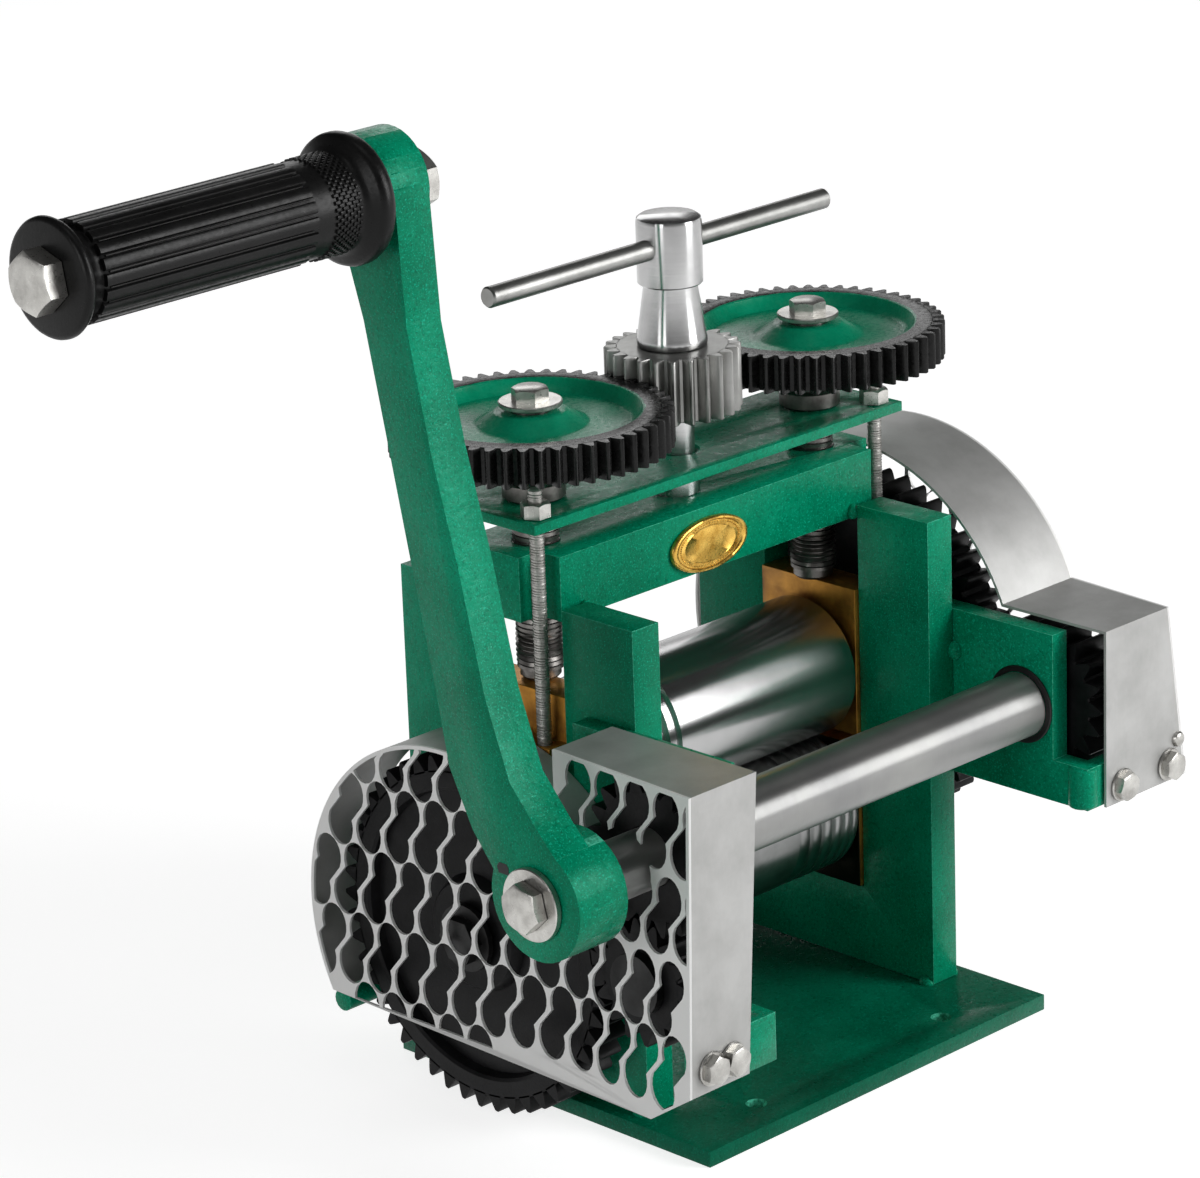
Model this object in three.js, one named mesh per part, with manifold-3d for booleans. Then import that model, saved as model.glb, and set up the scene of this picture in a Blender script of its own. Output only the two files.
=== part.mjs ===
import * as THREE from "three";
import { mergeVertices } from "three/addons/utils/BufferGeometryUtils.js";
import Module from "manifold-3d";

const wasm = await Module();
wasm.setup();

// Driving dimensions, in millimetres. X runs along the rolls from the crank side, Y away from the operator, Z up.
const fit = 0.3; // gap left between neighbouring pieces
const basePlate = { halfX: 76, front: -80, rear: 52, thick: 5, holeR: 3.3, holeX: 42, holeY: 67 };
const side = { inner: 59, thick: 11, halfY: 49, slotHalf: 20, slotFloor: 31, top: 158.5 };
const beam = { halfX: 76, halfY: 18, bottom: 154, top: 174, notchX: 68, notchY: 9 };
const roll = { r: 22.5, halfLength: 55, gap: 0.3, lowerZ: 57.7, neckR: 12.5, endR: 8.5 };
const grooves = { wire: [-49.5, -42.5, -36, -30, -24.8], half: [29.5, 35.2, 40.4, 45, 49.2, 52.6] };
const grooveR = [2.3, 2.0, 1.8, 1.5, 1.25, 1];
const drive = { module: 2.25, pinionTeeth: 20, idlerTeeth: 16, gearTeeth: 48, faceFrom: 80, faceWidth: 13, shaftR: 10.3 };
const lift = { module: 1.6, pinionTeeth: 24, gearTeeth: 51, gearTop: 214, gearThick: 11.4 };
const spindle = { pinionFrom: 200.4, pinionTo: 221.6, shaftR: 6, neckTopR: 8.1, headFrom: 239.5, headTo: 259.6, headR: 10.1, collarR: 7.2 };
const tBar = { z: 251.3, r: 3.2, from: -75.5, to: 68.5 };
const liftPlate = { z: 184.2, thick: 3, halfX: 80, halfY: 20.5 };
const stud = { x: 73.6, y: -14.6, r: 2.2, top: 196, nutAcross: 8, nutHeight: 4.5 };
const screw = { r: 7, coreR: 6, collarR: 9.5 };
const block = { from: 57.5, to: 69.4, lugTo: 76.8, above: 28, below: 20.5, lugAbove: 6 };
const arm = { thick: 7, front: -89, rear: -30, top: 128, bottomRight: 74, bottomLeft: 39.5 };
const guard = { sheet: 1.2, inner: 77.4, leftOuter: 102, rightOuter: 111, leftR: 61.5, rightR: 69, front: -104.2 };
const guardBox = { leftRear: -54, leftTop: 131, rightTop: 130.5, leftBottom: 28, leftLip: 40, rightBottom: 73.5 };
const bends = {
  left: { from: 54, top: 131, low: 40, inner: [0, 6], outer: [3, 6] },
  right: { from: 60, top: 130.5, low: 73.5, inner: [0, 0], outer: [-3.5, 5] },
};
const cell = { pitch: 12.4, row: 22.6, lean: 2.7, rise: 5.8, ry: 5.2, rz: 6.3, shift: 0.8, rim: 1.7 };
const badge = { x: -5.9, z: 162.6, halfZ: 8.4, stretch: 1.95 };
const stay = { y: 53, r: 3.6 };
const crank = { outer: 139, thick: 13, hubR: 17.6, hubLength: 19, topY: -20.5, topZ: 298.7, endY: -17, endZ: 299.5, endR: 15.5, bossOut: 4.6 };
const grip = { length: 107.5, r: 14.2, flangeR: 18.8, capR: 16.6, holeR: 5.4, boltR: 5, hexAcross: 15.5 };
const washer = { r: 13.4, thick: 2.2 };

// Positions that follow from them.
const upperZ = roll.lowerZ + 2 * roll.r + roll.gap;
const driveY = (-drive.module * (drive.pinionTeeth + drive.gearTeeth)) / 2;
// The idler touches the left pinion and the lower gear, on their front and lower side.
const idler = (() => {
  const [a, b] = [drive.pinionTeeth, drive.gearTeeth].map((n) => (drive.module * (n + drive.idlerTeeth)) / 2);
  const [dy, dz] = [-driveY, roll.lowerZ - upperZ];
  const d = Math.hypot(dy, dz);
  const along = (a * a - b * b + d * d) / (2 * d);
  const off = Math.sqrt(a * a - along * along);
  return { y: driveY + (along * dy + off * dz) / d, z: upperZ + (along * dz - off * dy) / d };
})();
const screwX = (lift.module * (lift.pinionTeeth + lift.gearTeeth)) / 2;
const outer = side.inner + side.thick;
const armOuter = outer + arm.thick;
const gearTip = (drive.module * (drive.gearTeeth + 2)) / 2;
const slotHalf = side.slotHalf - fit;

// Solids.
function toSolid(geometry) {
  const plain = geometry.index ? geometry.toNonIndexed() : geometry;
  const bare = new THREE.BufferGeometry().setAttribute("position", plain.getAttribute("position"));
  const merged = mergeVertices(bare, 1e-4);
  const faces = [];
  const index = merged.index.array;
  for (let i = 0; i < index.length; i += 3) {
    const [a, b, c] = [index[i], index[i + 1], index[i + 2]];
    if (a !== b && b !== c && c !== a) faces.push(a, b, c);
  }
  const data = { numProp: 3, vertProperties: merged.attributes.position.array, triVerts: new Uint32Array(faces) };
  return new wasm.Manifold(new wasm.Mesh(data));
}

const basis = {
  x: new THREE.Matrix4().makeBasis(new THREE.Vector3(0, 1, 0), new THREE.Vector3(0, 0, 1), new THREE.Vector3(1, 0, 0)),
  y: new THREE.Matrix4().makeBasis(new THREE.Vector3(0, 0, 1), new THREE.Vector3(1, 0, 0), new THREE.Vector3(0, 1, 0)),
  z: new THREE.Matrix4(),
};

function box(x0, x1, y0, y1, z0, z1) {
  const g = new THREE.BoxGeometry(x1 - x0, y1 - y0, z1 - z0);
  return toSolid(g.translate((x0 + x1) / 2, (y0 + y1) / 2, (z0 + z1) / 2));
}

// An outline extruded along an axis: for x it is drawn in (y, z), for y in (z, x), for z in (x, y).
function prism(axis, points, from, to) {
  const shape = new THREE.Shape(points.map(([u, v]) => new THREE.Vector2(u, v)));
  const g = new THREE.ExtrudeGeometry(shape, { depth: to - from, bevelEnabled: false });
  return toSolid(g.translate(0, 0, from).applyMatrix4(basis[axis]));
}

function circle(u, v, r, n, turn = 0) {
  return Array.from({ length: n }, (_, i) => {
    const a = turn + (2 * Math.PI * i) / n;
    return [u + r * Math.cos(a), v + r * Math.sin(a)];
  });
}

const rod = (axis, u, v, r, from, to, n = 20) => prism(axis, circle(u, v, r, n), from, to);
const hex = (axis, u, v, across, from, to) => prism(axis, circle(u, v, across / Math.sqrt(3), 6), from, to);

// A profile of [radius, height] pairs turned about an axis.
function turned(axis, u, v, profile, n = 24) {
  const g = new THREE.LatheGeometry(profile.map(([r, h]) => new THREE.Vector2(r, h)), n);
  g.rotateX(Math.PI / 2).translate(u, v, 0).applyMatrix4(basis[axis]);
  return toSolid(g);
}

const join = (...solids) => wasm.Manifold.union(solids);
const cut = (solid, ...tools) => wasm.Manifold.difference([solid, ...tools]);

const root = new THREE.Group();
root.name = "rolling_mill";

function add(name, solid, color) {
  const data = solid.getMesh();
  const g = new THREE.BufferGeometry();
  g.setAttribute("position", new THREE.BufferAttribute(new Float32Array(data.vertProperties), 3));
  g.setIndex(new THREE.BufferAttribute(new Uint32Array(data.triVerts), 1));
  g.computeVertexNormals();
  const mesh = new THREE.Mesh(g, new THREE.MeshStandardMaterial({ color, flatShading: true }));
  mesh.name = name;
  root.add(mesh);
}

const paint = 0x0b7a52;
const steel = 0xb9bcc0;
const sheet = 0xc4c6c8;
const black = 0x1b1c1e;
const brass = 0xb98532;
const rubber = 0x151515;

// Gears: straight-flanked teeth with backlash, phased so that a tooth or a gap faces the given angle.
function gearOutline(u, v, teeth, module, phase, points) {
  const pitchR = (teeth * module) / 2;
  const tipR = pitchR + module;
  const rootR = pitchR - 1.25 * module;
  const half = Math.PI * module * 0.25 - 0.15 * module;
  const steps = points === 6
    ? [[rootR, half + 0.5 * module], [pitchR, half], [tipR, half - 0.42 * module]]
    : [[rootR, half + 0.42 * module], [tipR, half - 0.4 * module]];
  const out = [];
  for (let i = 0; i < teeth; i++) {
    const a = phase + (2 * Math.PI * i) / teeth;
    const flank = (sign) => ([r, w]) => [u + r * Math.cos(a + (sign * w) / r), v + r * Math.sin(a + (sign * w) / r)];
    out.push(...steps.map(flank(-1)), ...[...steps].reverse().map(flank(1)));
  }
  return out;
}

const tooth = (teeth) => (2 * Math.PI) / teeth;

// The phase that puts gear B's gap on gear A's tooth, when A lies at u and B at v (each [x, y] across the axes).
function meshed([ua, va], teethA, phaseA, [ub, vb], teethB) {
  const d = Math.atan2(vb - va, ub - ua);
  return d + Math.PI - ((phaseA - d) * teethA) / teethB + tooth(teethB) / 2;
}

// Frame.
add("base_plate", cut(
  box(-basePlate.halfX, basePlate.halfX, basePlate.front, basePlate.rear, 0, basePlate.thick),
  ...[[-1, -1], [1, -1], [-1, 1], [1, 1]].map(([sx, sy]) =>
    rod("z", sx * basePlate.holeX, sy < 0 ? -basePlate.holeY : basePlate.rear - 9, basePlate.holeR, -1, 9, 20)),
), paint);

function sidePlate(sign) {
  const [h, s] = [side.halfY, side.slotHalf];
  const outline = [[-h, basePlate.thick + fit], [h, basePlate.thick + fit], [h, side.top], [s, side.top],
    [s, side.slotFloor], [-s, side.slotFloor], [-s, side.top], [-h, side.top]];
  const body = prism("x", outline, Math.min(sign * side.inner, sign * outer), Math.max(sign * side.inner, sign * outer));
  const z = sign < 0 ? 23.8 : 65.8;
  const reach = sign < 0 ? guard.leftOuter - 3 : guard.rightOuter - 3;
  const ends = [sign * (outer - 2), sign * reach].sort((a, b) => a - b);
  const foot = box(...[sign * (outer - 2), sign * (outer + 5)].sort((a, b) => a - b), h - 10, stay.y + stay.r, z - stay.r, z + stay.r);
  return join(body, foot, rod("x", stay.y, z, stay.r, ...ends, 16));
}
add("side_plate_left", sidePlate(-1), paint);
add("side_plate_right", sidePlate(1), paint);

const beamBody = box(-beam.halfX, beam.halfX, -beam.halfY, beam.halfY, beam.bottom, beam.top);
add("top_beam", cut(beamBody,
  ...[-1, 1].flatMap((s) => [
    box(...[s * beam.notchX, s * 90].sort((a, b) => a - b), -30, -beam.notchY, 140, 190),
    rod("z", s * screwX, 0, screw.r + fit, 140, 190, 20),
  ]),
  rod("z", 0, 0, spindle.shaftR + fit, beam.bottom + 4, 190, 28),
), paint);
add("badge_plate", turned("y", badge.z, 0, [[0, 0], [badge.halfZ, 0], [badge.halfZ, 1], [badge.halfZ - 0.8, 1.6], [0, 1.6]]
  .map(([r, h]) => [r, -beam.halfY - fit - h]).reverse(), 36)
  .scale([badge.stretch, 1, 1]).translate([badge.x, 0, 0]), brass);

// Bearing blocks, slid between the columns.
function bearing(sign, z, up, down, lug) {
  const x = [sign * block.from, sign * block.to].sort((a, b) => a - b);
  const e = [sign * (block.to - 3), sign * block.lugTo].sort((a, b) => a - b);
  let body = box(...x, -slotHalf, slotHalf, z - down, z + up);
  if (lug) body = join(body, box(...e, -slotHalf, slotHalf, z - down, z + block.lugAbove + 8));
  const cuts = [rod("x", 0, z, roll.neckR + fit, -90, 90, 24)];
  if (lug) cuts.push(rod("z", sign * stud.x, stud.y, stud.r + fit, z - 30, z + 30, 16));
  return cut(body, ...cuts);
}
for (const [s, name] of [[-1, "left"], [1, "right"]]) {
  add(`upper_block_${name}`, bearing(s, upperZ, block.above, block.below, true), brass);
  add(`lower_block_${name}`, bearing(s, roll.lowerZ, block.below + 1, roll.lowerZ - side.slotFloor - fit, false), brass);
}

// Rolls: necks run in the blocks, the ends carry the gears.
function rollBody(z, wire, half, gearSide) {
  const r = roll.r;
  const L = roll.halfLength;
  const p = [[0, -L - 15], [roll.neckR - 1, -L - 15], [roll.neckR, -L - 14], [roll.neckR, -L + 0.8], [r - 1, -L + 0.8], [r, -L + 1.8]];
  if (wire) grooves.wire.forEach((x, i) => p.push([r, x - grooveR[i]], [r - grooveR[i], x], [r, x + grooveR[i]]));
  if (half) grooves.half.forEach((x, i) => {
    const g = grooveR[i];
    p.push([r, x - g], [r - 0.9 * g, x - 0.45 * g], [r - 0.9 * g, x + 0.45 * g], [r, x + g]);
  });
  p.push([r, L - 1.2], [r - 1, L - 0.2], [roll.neckR, L - 0.2], [roll.neckR, L + 14], [roll.neckR - 1, L + 15], [0, L + 15]);
  const end = rod("x", 0, z, roll.endR, ...(gearSide > 0 ? [60, drive.faceFrom + drive.faceWidth + 1] : [-drive.faceFrom - drive.faceWidth - 1, -60]), 20);
  return join(turned("x", 0, z, p, 28), end);
}
add("upper_roll", rollBody(upperZ, true, false, 1), steel);
add("lower_roll", rollBody(roll.lowerZ, true, true, -1), steel);

function rollGear(sign, z, phase) {
  const a = sign > 0 ? drive.faceFrom : -drive.faceFrom - drive.faceWidth;
  const b = a + drive.faceWidth;
  const rootR = (drive.module * drive.gearTeeth) / 2 - 1.25 * drive.module;
  const body = prism("x", gearOutline(0, z, drive.gearTeeth, drive.module, phase, 4), a, b);
  const dish = (from, to) => turned("x", 0, z, [[17, from], [rootR - 6, from], [rootR - 6, to], [17, to], [17, from]], 28);
  return cut(body, dish(...(sign > 0 ? [b - 3.6, b + 1] : [a - 1, a + 3.6])), rod("x", 0, z, roll.endR + fit, a - 1, b + 1, 20));
}
const idlerPhase = Math.atan2(roll.lowerZ - idler.z, -idler.y);
add("upper_roll_gear", rollGear(1, upperZ,
  meshed([driveY, upperZ], drive.pinionTeeth, 0, [0, upperZ], drive.gearTeeth)), black);
add("lower_roll_gear", rollGear(-1, roll.lowerZ,
  meshed([idler.y, idler.z], drive.idlerTeeth, idlerPhase, [0, roll.lowerZ], drive.gearTeeth)), black);

function neckEnd(sign, z) {
  const x = sign * (drive.faceFrom + drive.faceWidth + 1 + fit);
  const pair = (a, b) => [sign * a, sign * b].sort((p, q) => p - q);
  const at = Math.abs(x);
  return join(rod("x", 0, z, 10.5, ...pair(at, at + 1.8), 24), hex("x", 0, z, 13, ...pair(at + 1.5, at + 5)));
}
add("upper_roll_bolt", neckEnd(1, upperZ), steel);
add("lower_roll_bolt", neckEnd(-1, roll.lowerZ), steel);
add("roll_thrust_washer", cut(rod("x", 0, upperZ, 11, outer + 7.9, outer + 9.5, 24), rod("x", 0, upperZ, roll.endR + fit, 0, 200, 24)), steel);

// Drive shaft, pinions and idler.
const pinionFrom = drive.faceFrom - 1;
const pinionTo = drive.faceFrom + drive.faceWidth + 1;
add("drive_shaft", join(
  turned("x", driveY, upperZ, [[0, -121], [8.6, -121], [9, -120.4], [9, -outer + fit], [drive.shaftR, -outer + fit], [drive.shaftR, outer - fit],
    [9, outer - fit], [9, pinionTo + 1.6], [8.4, pinionTo + 2.2], [0, pinionTo + 2.2]], 24),
), steel);
const pinionSolid = (y, z, teeth, phase, from, to, bore) => cut(
  prism("x", gearOutline(y, z, teeth, drive.module, phase, 6), from, to),
  rod("x", y, z, bore + fit, from - 1, to + 1, 24));
add("drive_pinion_right", pinionSolid(driveY, upperZ, drive.pinionTeeth, 0, pinionFrom, pinionTo, 9), black);
add("drive_pinion_left", pinionSolid(driveY, upperZ, drive.pinionTeeth,
  meshed([idler.y, idler.z], drive.idlerTeeth, idlerPhase, [driveY, upperZ], drive.pinionTeeth),
  -pinionTo, -pinionFrom, 9), black);
add("idler_gear", pinionSolid(idler.y, idler.z, drive.idlerTeeth, idlerPhase, -pinionTo, -pinionFrom, 7), black);
add("idler_axle", join(
  rod("x", idler.y, idler.z, 7, -pinionTo - 1, -outer - 0.8, 24),
  rod("x", idler.y, idler.z, 9.5, -pinionTo - 3, -pinionTo - fit, 24),
), steel);

function shaftArm(sign, bottom, lip) {
  const [a, b] = [sign * (outer + fit), sign * armOuter].sort((p, q) => p - q);
  const lipOuter = sign > 0 ? guard.rightOuter + 0.5 : guard.leftOuter + 0.8;
  const [low, high] = sign > 0 ? [bottom, lip + 8.5] : [lip - 7.5, lip + 7.5];
  const [c, d] = [sign * outer + sign * fit, sign * lipOuter].sort((p, q) => p - q);
  const plate = prism("x", [[arm.front, bottom], [arm.rear, bottom], [arm.rear, arm.top], [arm.front, arm.top]], a, b);
  const inner = guard.front + guard.sheet + fit;
  const foot = box(c, d, inner, inner + 5.5, low, high);
  const web = box(a, b, inner, arm.front + 2, bottom, high);
  const holes = [rod("x", driveY, upperZ, 9 + fit, -200, 200, 24)];
  if (sign < 0) holes.push(rod("x", idler.y, idler.z, 7 + fit, -200, 200, 24));
  for (const x of boltX(sign)) holes.push(rod("y", lip, x, 2.5 + fit, inner - 1, inner + 20, 12));
  return cut(join(plate, foot, web), ...holes);
}
function boltX(sign) {
  return sign > 0 ? [84.9, 107.5] : [-90.5, -99];
}
const lipZ = { left: 47, right: 79 };
add("shaft_arm_left", shaftArm(-1, arm.bottomLeft, lipZ.left), paint);
add("shaft_arm_right", shaftArm(1, arm.bottomRight, lipZ.right), paint);

// Crank: a tapered arm from the hub to the grip's boss.
const arc = (cy, cz, r, from, to, n) => Array.from({ length: n + 1 }, (_, i) => {
  const a = ((from + ((to - from) * i) / n) * Math.PI) / 180;
  return [cy + r * Math.cos(a), cz + r * Math.sin(a)];
});
const crankOutline = [
  ...arc(driveY, upperZ, crank.hubR, 150, 380, 16),
  [-52, 119], [-43.5, 136], [-39, 160], [-31, 196], [-24, 228], [-17, 262], [-11, 281],
  ...arc(crank.endY, crank.endZ, crank.endR, -40, 190, 14),
  [-33, 283], [-34.6, 262], [-42, 228], [-51, 196], [-59.5, 160], [-68, 137], [-79, 124.5],
];
add("crank_arm", cut(join(
  prism("x", crankOutline, -crank.outer, -crank.outer + crank.thick),
  rod("x", driveY, upperZ, crank.hubR, -crank.outer, -crank.outer + crank.hubLength, 36),
  rod("x", crank.endY, crank.endZ, crank.endR, -crank.outer - crank.bossOut, -crank.outer + crank.thick, 36),
), rod("x", driveY, upperZ, 9 + fit, -crank.outer + 3, 0, 28),
rod("x", driveY, upperZ, 4 + fit, -160, 0, 16),
rod("x", crank.topY, crank.topZ, grip.boltR + fit, -160, 0, 20)), paint);
const face = -crank.outer;
add("crank_washer", cut(rod("x", driveY, upperZ, washer.r * 0.82, face - fit - washer.thick, face - fit, 28),
  rod("x", driveY, upperZ, 4 + fit, -160, 0, 16)), steel);
add("crank_bolt", join(hex("x", driveY, upperZ, 13, face - 2 * fit - washer.thick - 5.3, face - 2 * fit - washer.thick),
  rod("x", driveY, upperZ, 4, face - washer.thick - 3, -121 - fit, 16)), steel);

// Grip, free to turn on its bolt.
const gripFace = face - crank.bossOut;
const gripEnd = gripFace - fit - grip.length;
const g0 = gripFace - fit;
add("grip", turned("x", crank.topY, crank.topZ, [
  [grip.holeR, gripEnd], [grip.capR - 1.5, gripEnd], [grip.capR, gripEnd + 1.2], [grip.capR, gripEnd + 4], [grip.r - 1.4, gripEnd + 7],
  [grip.r, gripEnd + 12], [grip.r, g0 - 24], [grip.r + 1, g0 - 12], [grip.r + 1.6, g0 - 9], [grip.flangeR, g0 - 6.5],
  [grip.flangeR, g0 - 1.4], [grip.flangeR - 1.5, g0], [grip.holeR, g0], [grip.holeR, gripEnd]], 24), rubber);
add("grip_bolt", join(
  hex("x", crank.topY, crank.topZ, grip.hexAcross, gripEnd - fit - 6.6, gripEnd - fit),
  rod("x", crank.topY, crank.topZ, grip.boltR, gripEnd - 2, face + crank.thick + 10, 20)), steel);
add("grip_nut", cut(hex("x", crank.topY, crank.topZ, grip.hexAcross, face + crank.thick + fit, face + crank.thick + 8),
  rod("x", crank.topY, crank.topZ, grip.boltR + fit, -200, 0, 20)), steel);

// Guards: a pierced face, a rolled rim and a front flange in one folded sheet.
function guardOutline(sign, inset, drop = 0) {
  const t = inset * guard.sheet;
  const front = guard.front + t;
  const degrees = (y, z) => (Math.atan2(z, y) * 180) / Math.PI;
  if (sign < 0) {
    const [r, z] = [guard.leftR - t, roll.lowerZ];
    const low = guardBox.leftBottom - drop;
    const start = degrees(Math.sqrt(r * r - (low - z) ** 2), low - z);
    const end = degrees(guardBox.leftRear, Math.sqrt(r * r - guardBox.leftRear ** 2));
    return [[-86, low], ...arc(0, z, r, start, end, 22), [guardBox.leftRear, guardBox.leftTop - t],
      [front, guardBox.leftTop - t], [front, guardBox.leftLip - drop]];
  }
  const [r, z] = [guard.rightR - t, upperZ];
  const low = guardBox.rightBottom - drop;
  const top = guardBox.rightTop - t;
  const start = degrees(Math.sqrt(r * r - (low - z) ** 2), low - z);
  const end = degrees(-Math.sqrt(r * r - (top - z) ** 2), top - z);
  return [[front, low], ...arc(0, z, r, start, end, 24), [front, top]];
}
// One slanted figure-of-eight hole of the grille.
function cellOutline(y, z) {
  const half = [-25, 20, 65, 112, 160, 210].map((deg) => {
    const a = (deg * Math.PI) / 180;
    return [cell.ry * Math.cos(a) - cell.lean, cell.rz * Math.sin(a) + cell.rise];
  });
  return [...half, ...half.map(([u, v]) => [-u, -v])].map(([u, v]) => [y + u, z + v]);
}
// The guards are bent by hand: the front of each leans, more at its outer sheet than at its inner edge.
function leaning(sign, x, y, z) {
  const bend = sign > 0 ? bends.right : bends.left;
  const forward = Math.min(Math.max((-y - bend.from) / (-guard.front - bend.from), 0), 1);
  const down = Math.min(Math.max((bend.top - z) / (bend.top - bend.low), 0), 1);
  const far = sign > 0 ? guard.rightOuter : guard.leftOuter;
  const out = Math.min(Math.max((Math.abs(x) - guard.inner) / (far - guard.inner), 0), 1);
  const shift = (pair) => pair[0] + (pair[1] - pair[0]) * down;
  return x + sign * forward * (shift(bend.inner) * (1 - out) + shift(bend.outer) * out);
}
function guardSheet(sign, zRow, yRow, lip) {
  const far = sign > 0 ? guard.rightOuter : guard.leftOuter;
  const span = (a, b) => [sign * a, sign * b].sort((p, q) => p - q);
  const [outline, hollow] = [guardOutline(sign, 0), guardOutline(sign, 1, 6)];
  const deep = prism("x", hollow, ...span(guard.inner - 5, far - guard.sheet));
  const cells = [];
  for (let row = -4; row < 5; row++) for (let col = -12; col < 12; col++) {
    const y = yRow + col * cell.pitch + row * cell.shift;
    if (Math.abs(y + 20) < 100) cells.push(prism("x", cellOutline(y, zRow + row * cell.row), ...span(far - 4, far + 2)));
  }
  const field = prism("x", guardOutline(sign, cell.rim, -cell.rim), ...span(far - 4, far + 2));
  const holes = join(...cells).intersect(field).decompose().filter((h) => h.volume() > 6 * 18);
  const bolts = boltX(sign).map((x) => rod("y", lip, x, 2.5 + fit, guard.front - 2, guard.front + 4, 12));
  const full = prism("x", outline, ...span(guard.inner, far - guard.sheet));
  const face = prism("x", outline, ...span(far - guard.sheet + 0.25, far));
  const shaftHole = rod("x", driveY, upperZ, 11.5, -120, 0, 20);
  const bent = (body) => body.warp((v) => { v[0] = leaning(sign, ...v); });
  return { wall: cut(bent(cut(full, deep)), ...bolts), grille: bent(cut(face, shaftHole, ...holes)) };
}
for (const [name, made] of [
  ["guard_left", guardSheet(-1, 67.6, 18, lipZ.left)],
  ["guard_right", guardSheet(1, 90, 6, lipZ.right)],
]) {
  // The left wall is open at the back of its tall box, so its front is a strip of its own.
  const strips = made.wall.decompose().sort((a, b) => b.boundingBox().max[1] - a.boundingBox().max[1]);
  strips.forEach((strip, i) => add(i ? `${name}_front` : name, strip, sheet));
  add(`${name}_grille`, made.grille, sheet);
}
for (const [s, name] of [[-1, "left"], [1, "right"]]) {
  boltX(s).forEach((x, i) => {
    const z = lipZ[name];
    add(`guard_bolt_${name}_${i ? "outer" : "inner"}`, join(
      hex("y", z, x, 8, guard.front - fit - 3.6, guard.front - fit),
      rod("y", z, x, 2.5, guard.front - 3, guard.front + guard.sheet + 9, 12)), steel);
  });
}

// Adjustment: spindle pinion, screw gears, pressure screws, and the plate that lifts the upper blocks.
add("spindle", cut(turned("z", 0, 0, [
  [0, beam.bottom + 6], [spindle.shaftR, beam.bottom + 6], [spindle.shaftR, beam.top + fit], [spindle.collarR, beam.top + fit],
  [spindle.collarR, liftPlate.z - fit], [spindle.shaftR, liftPlate.z - fit], [spindle.shaftR, spindle.pinionTo - 1], [10.6, spindle.pinionTo - 1],
  [10.6, spindle.pinionTo + 1.5], [spindle.neckTopR, spindle.headFrom], [spindle.headR, spindle.headFrom],
  [spindle.headR, spindle.headTo], [spindle.headR - 1.2, spindle.headTo + 1], [0, spindle.headTo + 1]], 24),
rod("x", 0, tBar.z, tBar.r + fit, -30, 30, 16)), steel);
add("t_bar", rod("x", 0, tBar.z, tBar.r, tBar.from, tBar.to, 20), steel);
add("spindle_pinion", cut(
  prism("z", gearOutline(0, 0, lift.pinionTeeth, lift.module, 0, 6), spindle.pinionFrom, spindle.pinionTo - 1 - fit),
  rod("z", 0, 0, spindle.shaftR + fit, 190, 230, 20)), steel);

const plateTop = liftPlate.z + liftPlate.thick;
add("lift_plate", cut(box(-liftPlate.halfX, liftPlate.halfX, -liftPlate.halfY, liftPlate.halfY, liftPlate.z, plateTop),
  ...[-1, 1].flatMap((s) => [rod("z", s * screwX, 0, screw.coreR + fit, 180, 190, 24),
    rod("z", s * stud.x, stud.y, stud.r + fit, 180, 190, 14)]),
  rod("z", 0, 0, spindle.collarR + fit, 180, 190, 24)), paint);

for (const [s, name] of [[-1, "left"], [1, "right"]]) {
  const x = s * screwX;
  const g = lift.gearTop - lift.gearThick;
  const foot = upperZ + block.above + fit;
  add(`pressure_screw_${name}`, join(
    turned("z", x, 0, [[0, foot], [screw.r - 1, foot], [screw.r, foot + 1], [screw.r, liftPlate.z - fit],
      [screw.coreR, liftPlate.z - fit], [screw.coreR, g - 3], [screw.coreR, lift.gearTop + 1.2], [0, lift.gearTop + 1.2]], 20),
    rod("z", x, 0, screw.collarR, plateTop + fit, g - fit, 24)), steel);
  const rootR = (lift.module * lift.gearTeeth) / 2 - 1.25 * lift.module;
  const dish = (a, b) => turned("z", x, 0, [[14.5, a], [rootR - 8, a], [rootR - 5.6, b], [13, b], [14.5, a]], 28);
  const phase = meshed([0, 0], lift.pinionTeeth, 0, [x, 0], lift.gearTeeth);
  add(`screw_gear_${name}`, cut(
    prism("z", gearOutline(x, 0, lift.gearTeeth, lift.module, phase, 4), g, lift.gearTop),
    dish(lift.gearTop - 4, lift.gearTop + 1),
    rod("z", x, 0, screw.coreR + fit, g - 1, lift.gearTop + 1, 24)), black);
  add(`screw_gear_bolt_${name}`, join(
    rod("z", x, 0, 9.5, lift.gearTop + 1.5, lift.gearTop + 3.1, 28),
    hex("z", x, 0, 10, lift.gearTop + 3, lift.gearTop + 7.1)), steel);
  add(`lift_stud_${name}`, rod("z", s * stud.x, stud.y, stud.r, upperZ - 17, stud.top, 14), steel);
  const nut = (z) => cut(hex("z", s * stud.x, stud.y, stud.nutAcross, z, z + stud.nutHeight),
    rod("z", s * stud.x, stud.y, stud.r + fit, 0, 300, 14));
  add(`stud_nut_${name}`, nut(plateTop + fit), steel);
}

export default root;
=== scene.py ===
import math
import bmesh
import bpy
from mathutils import Matrix, Vector


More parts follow.
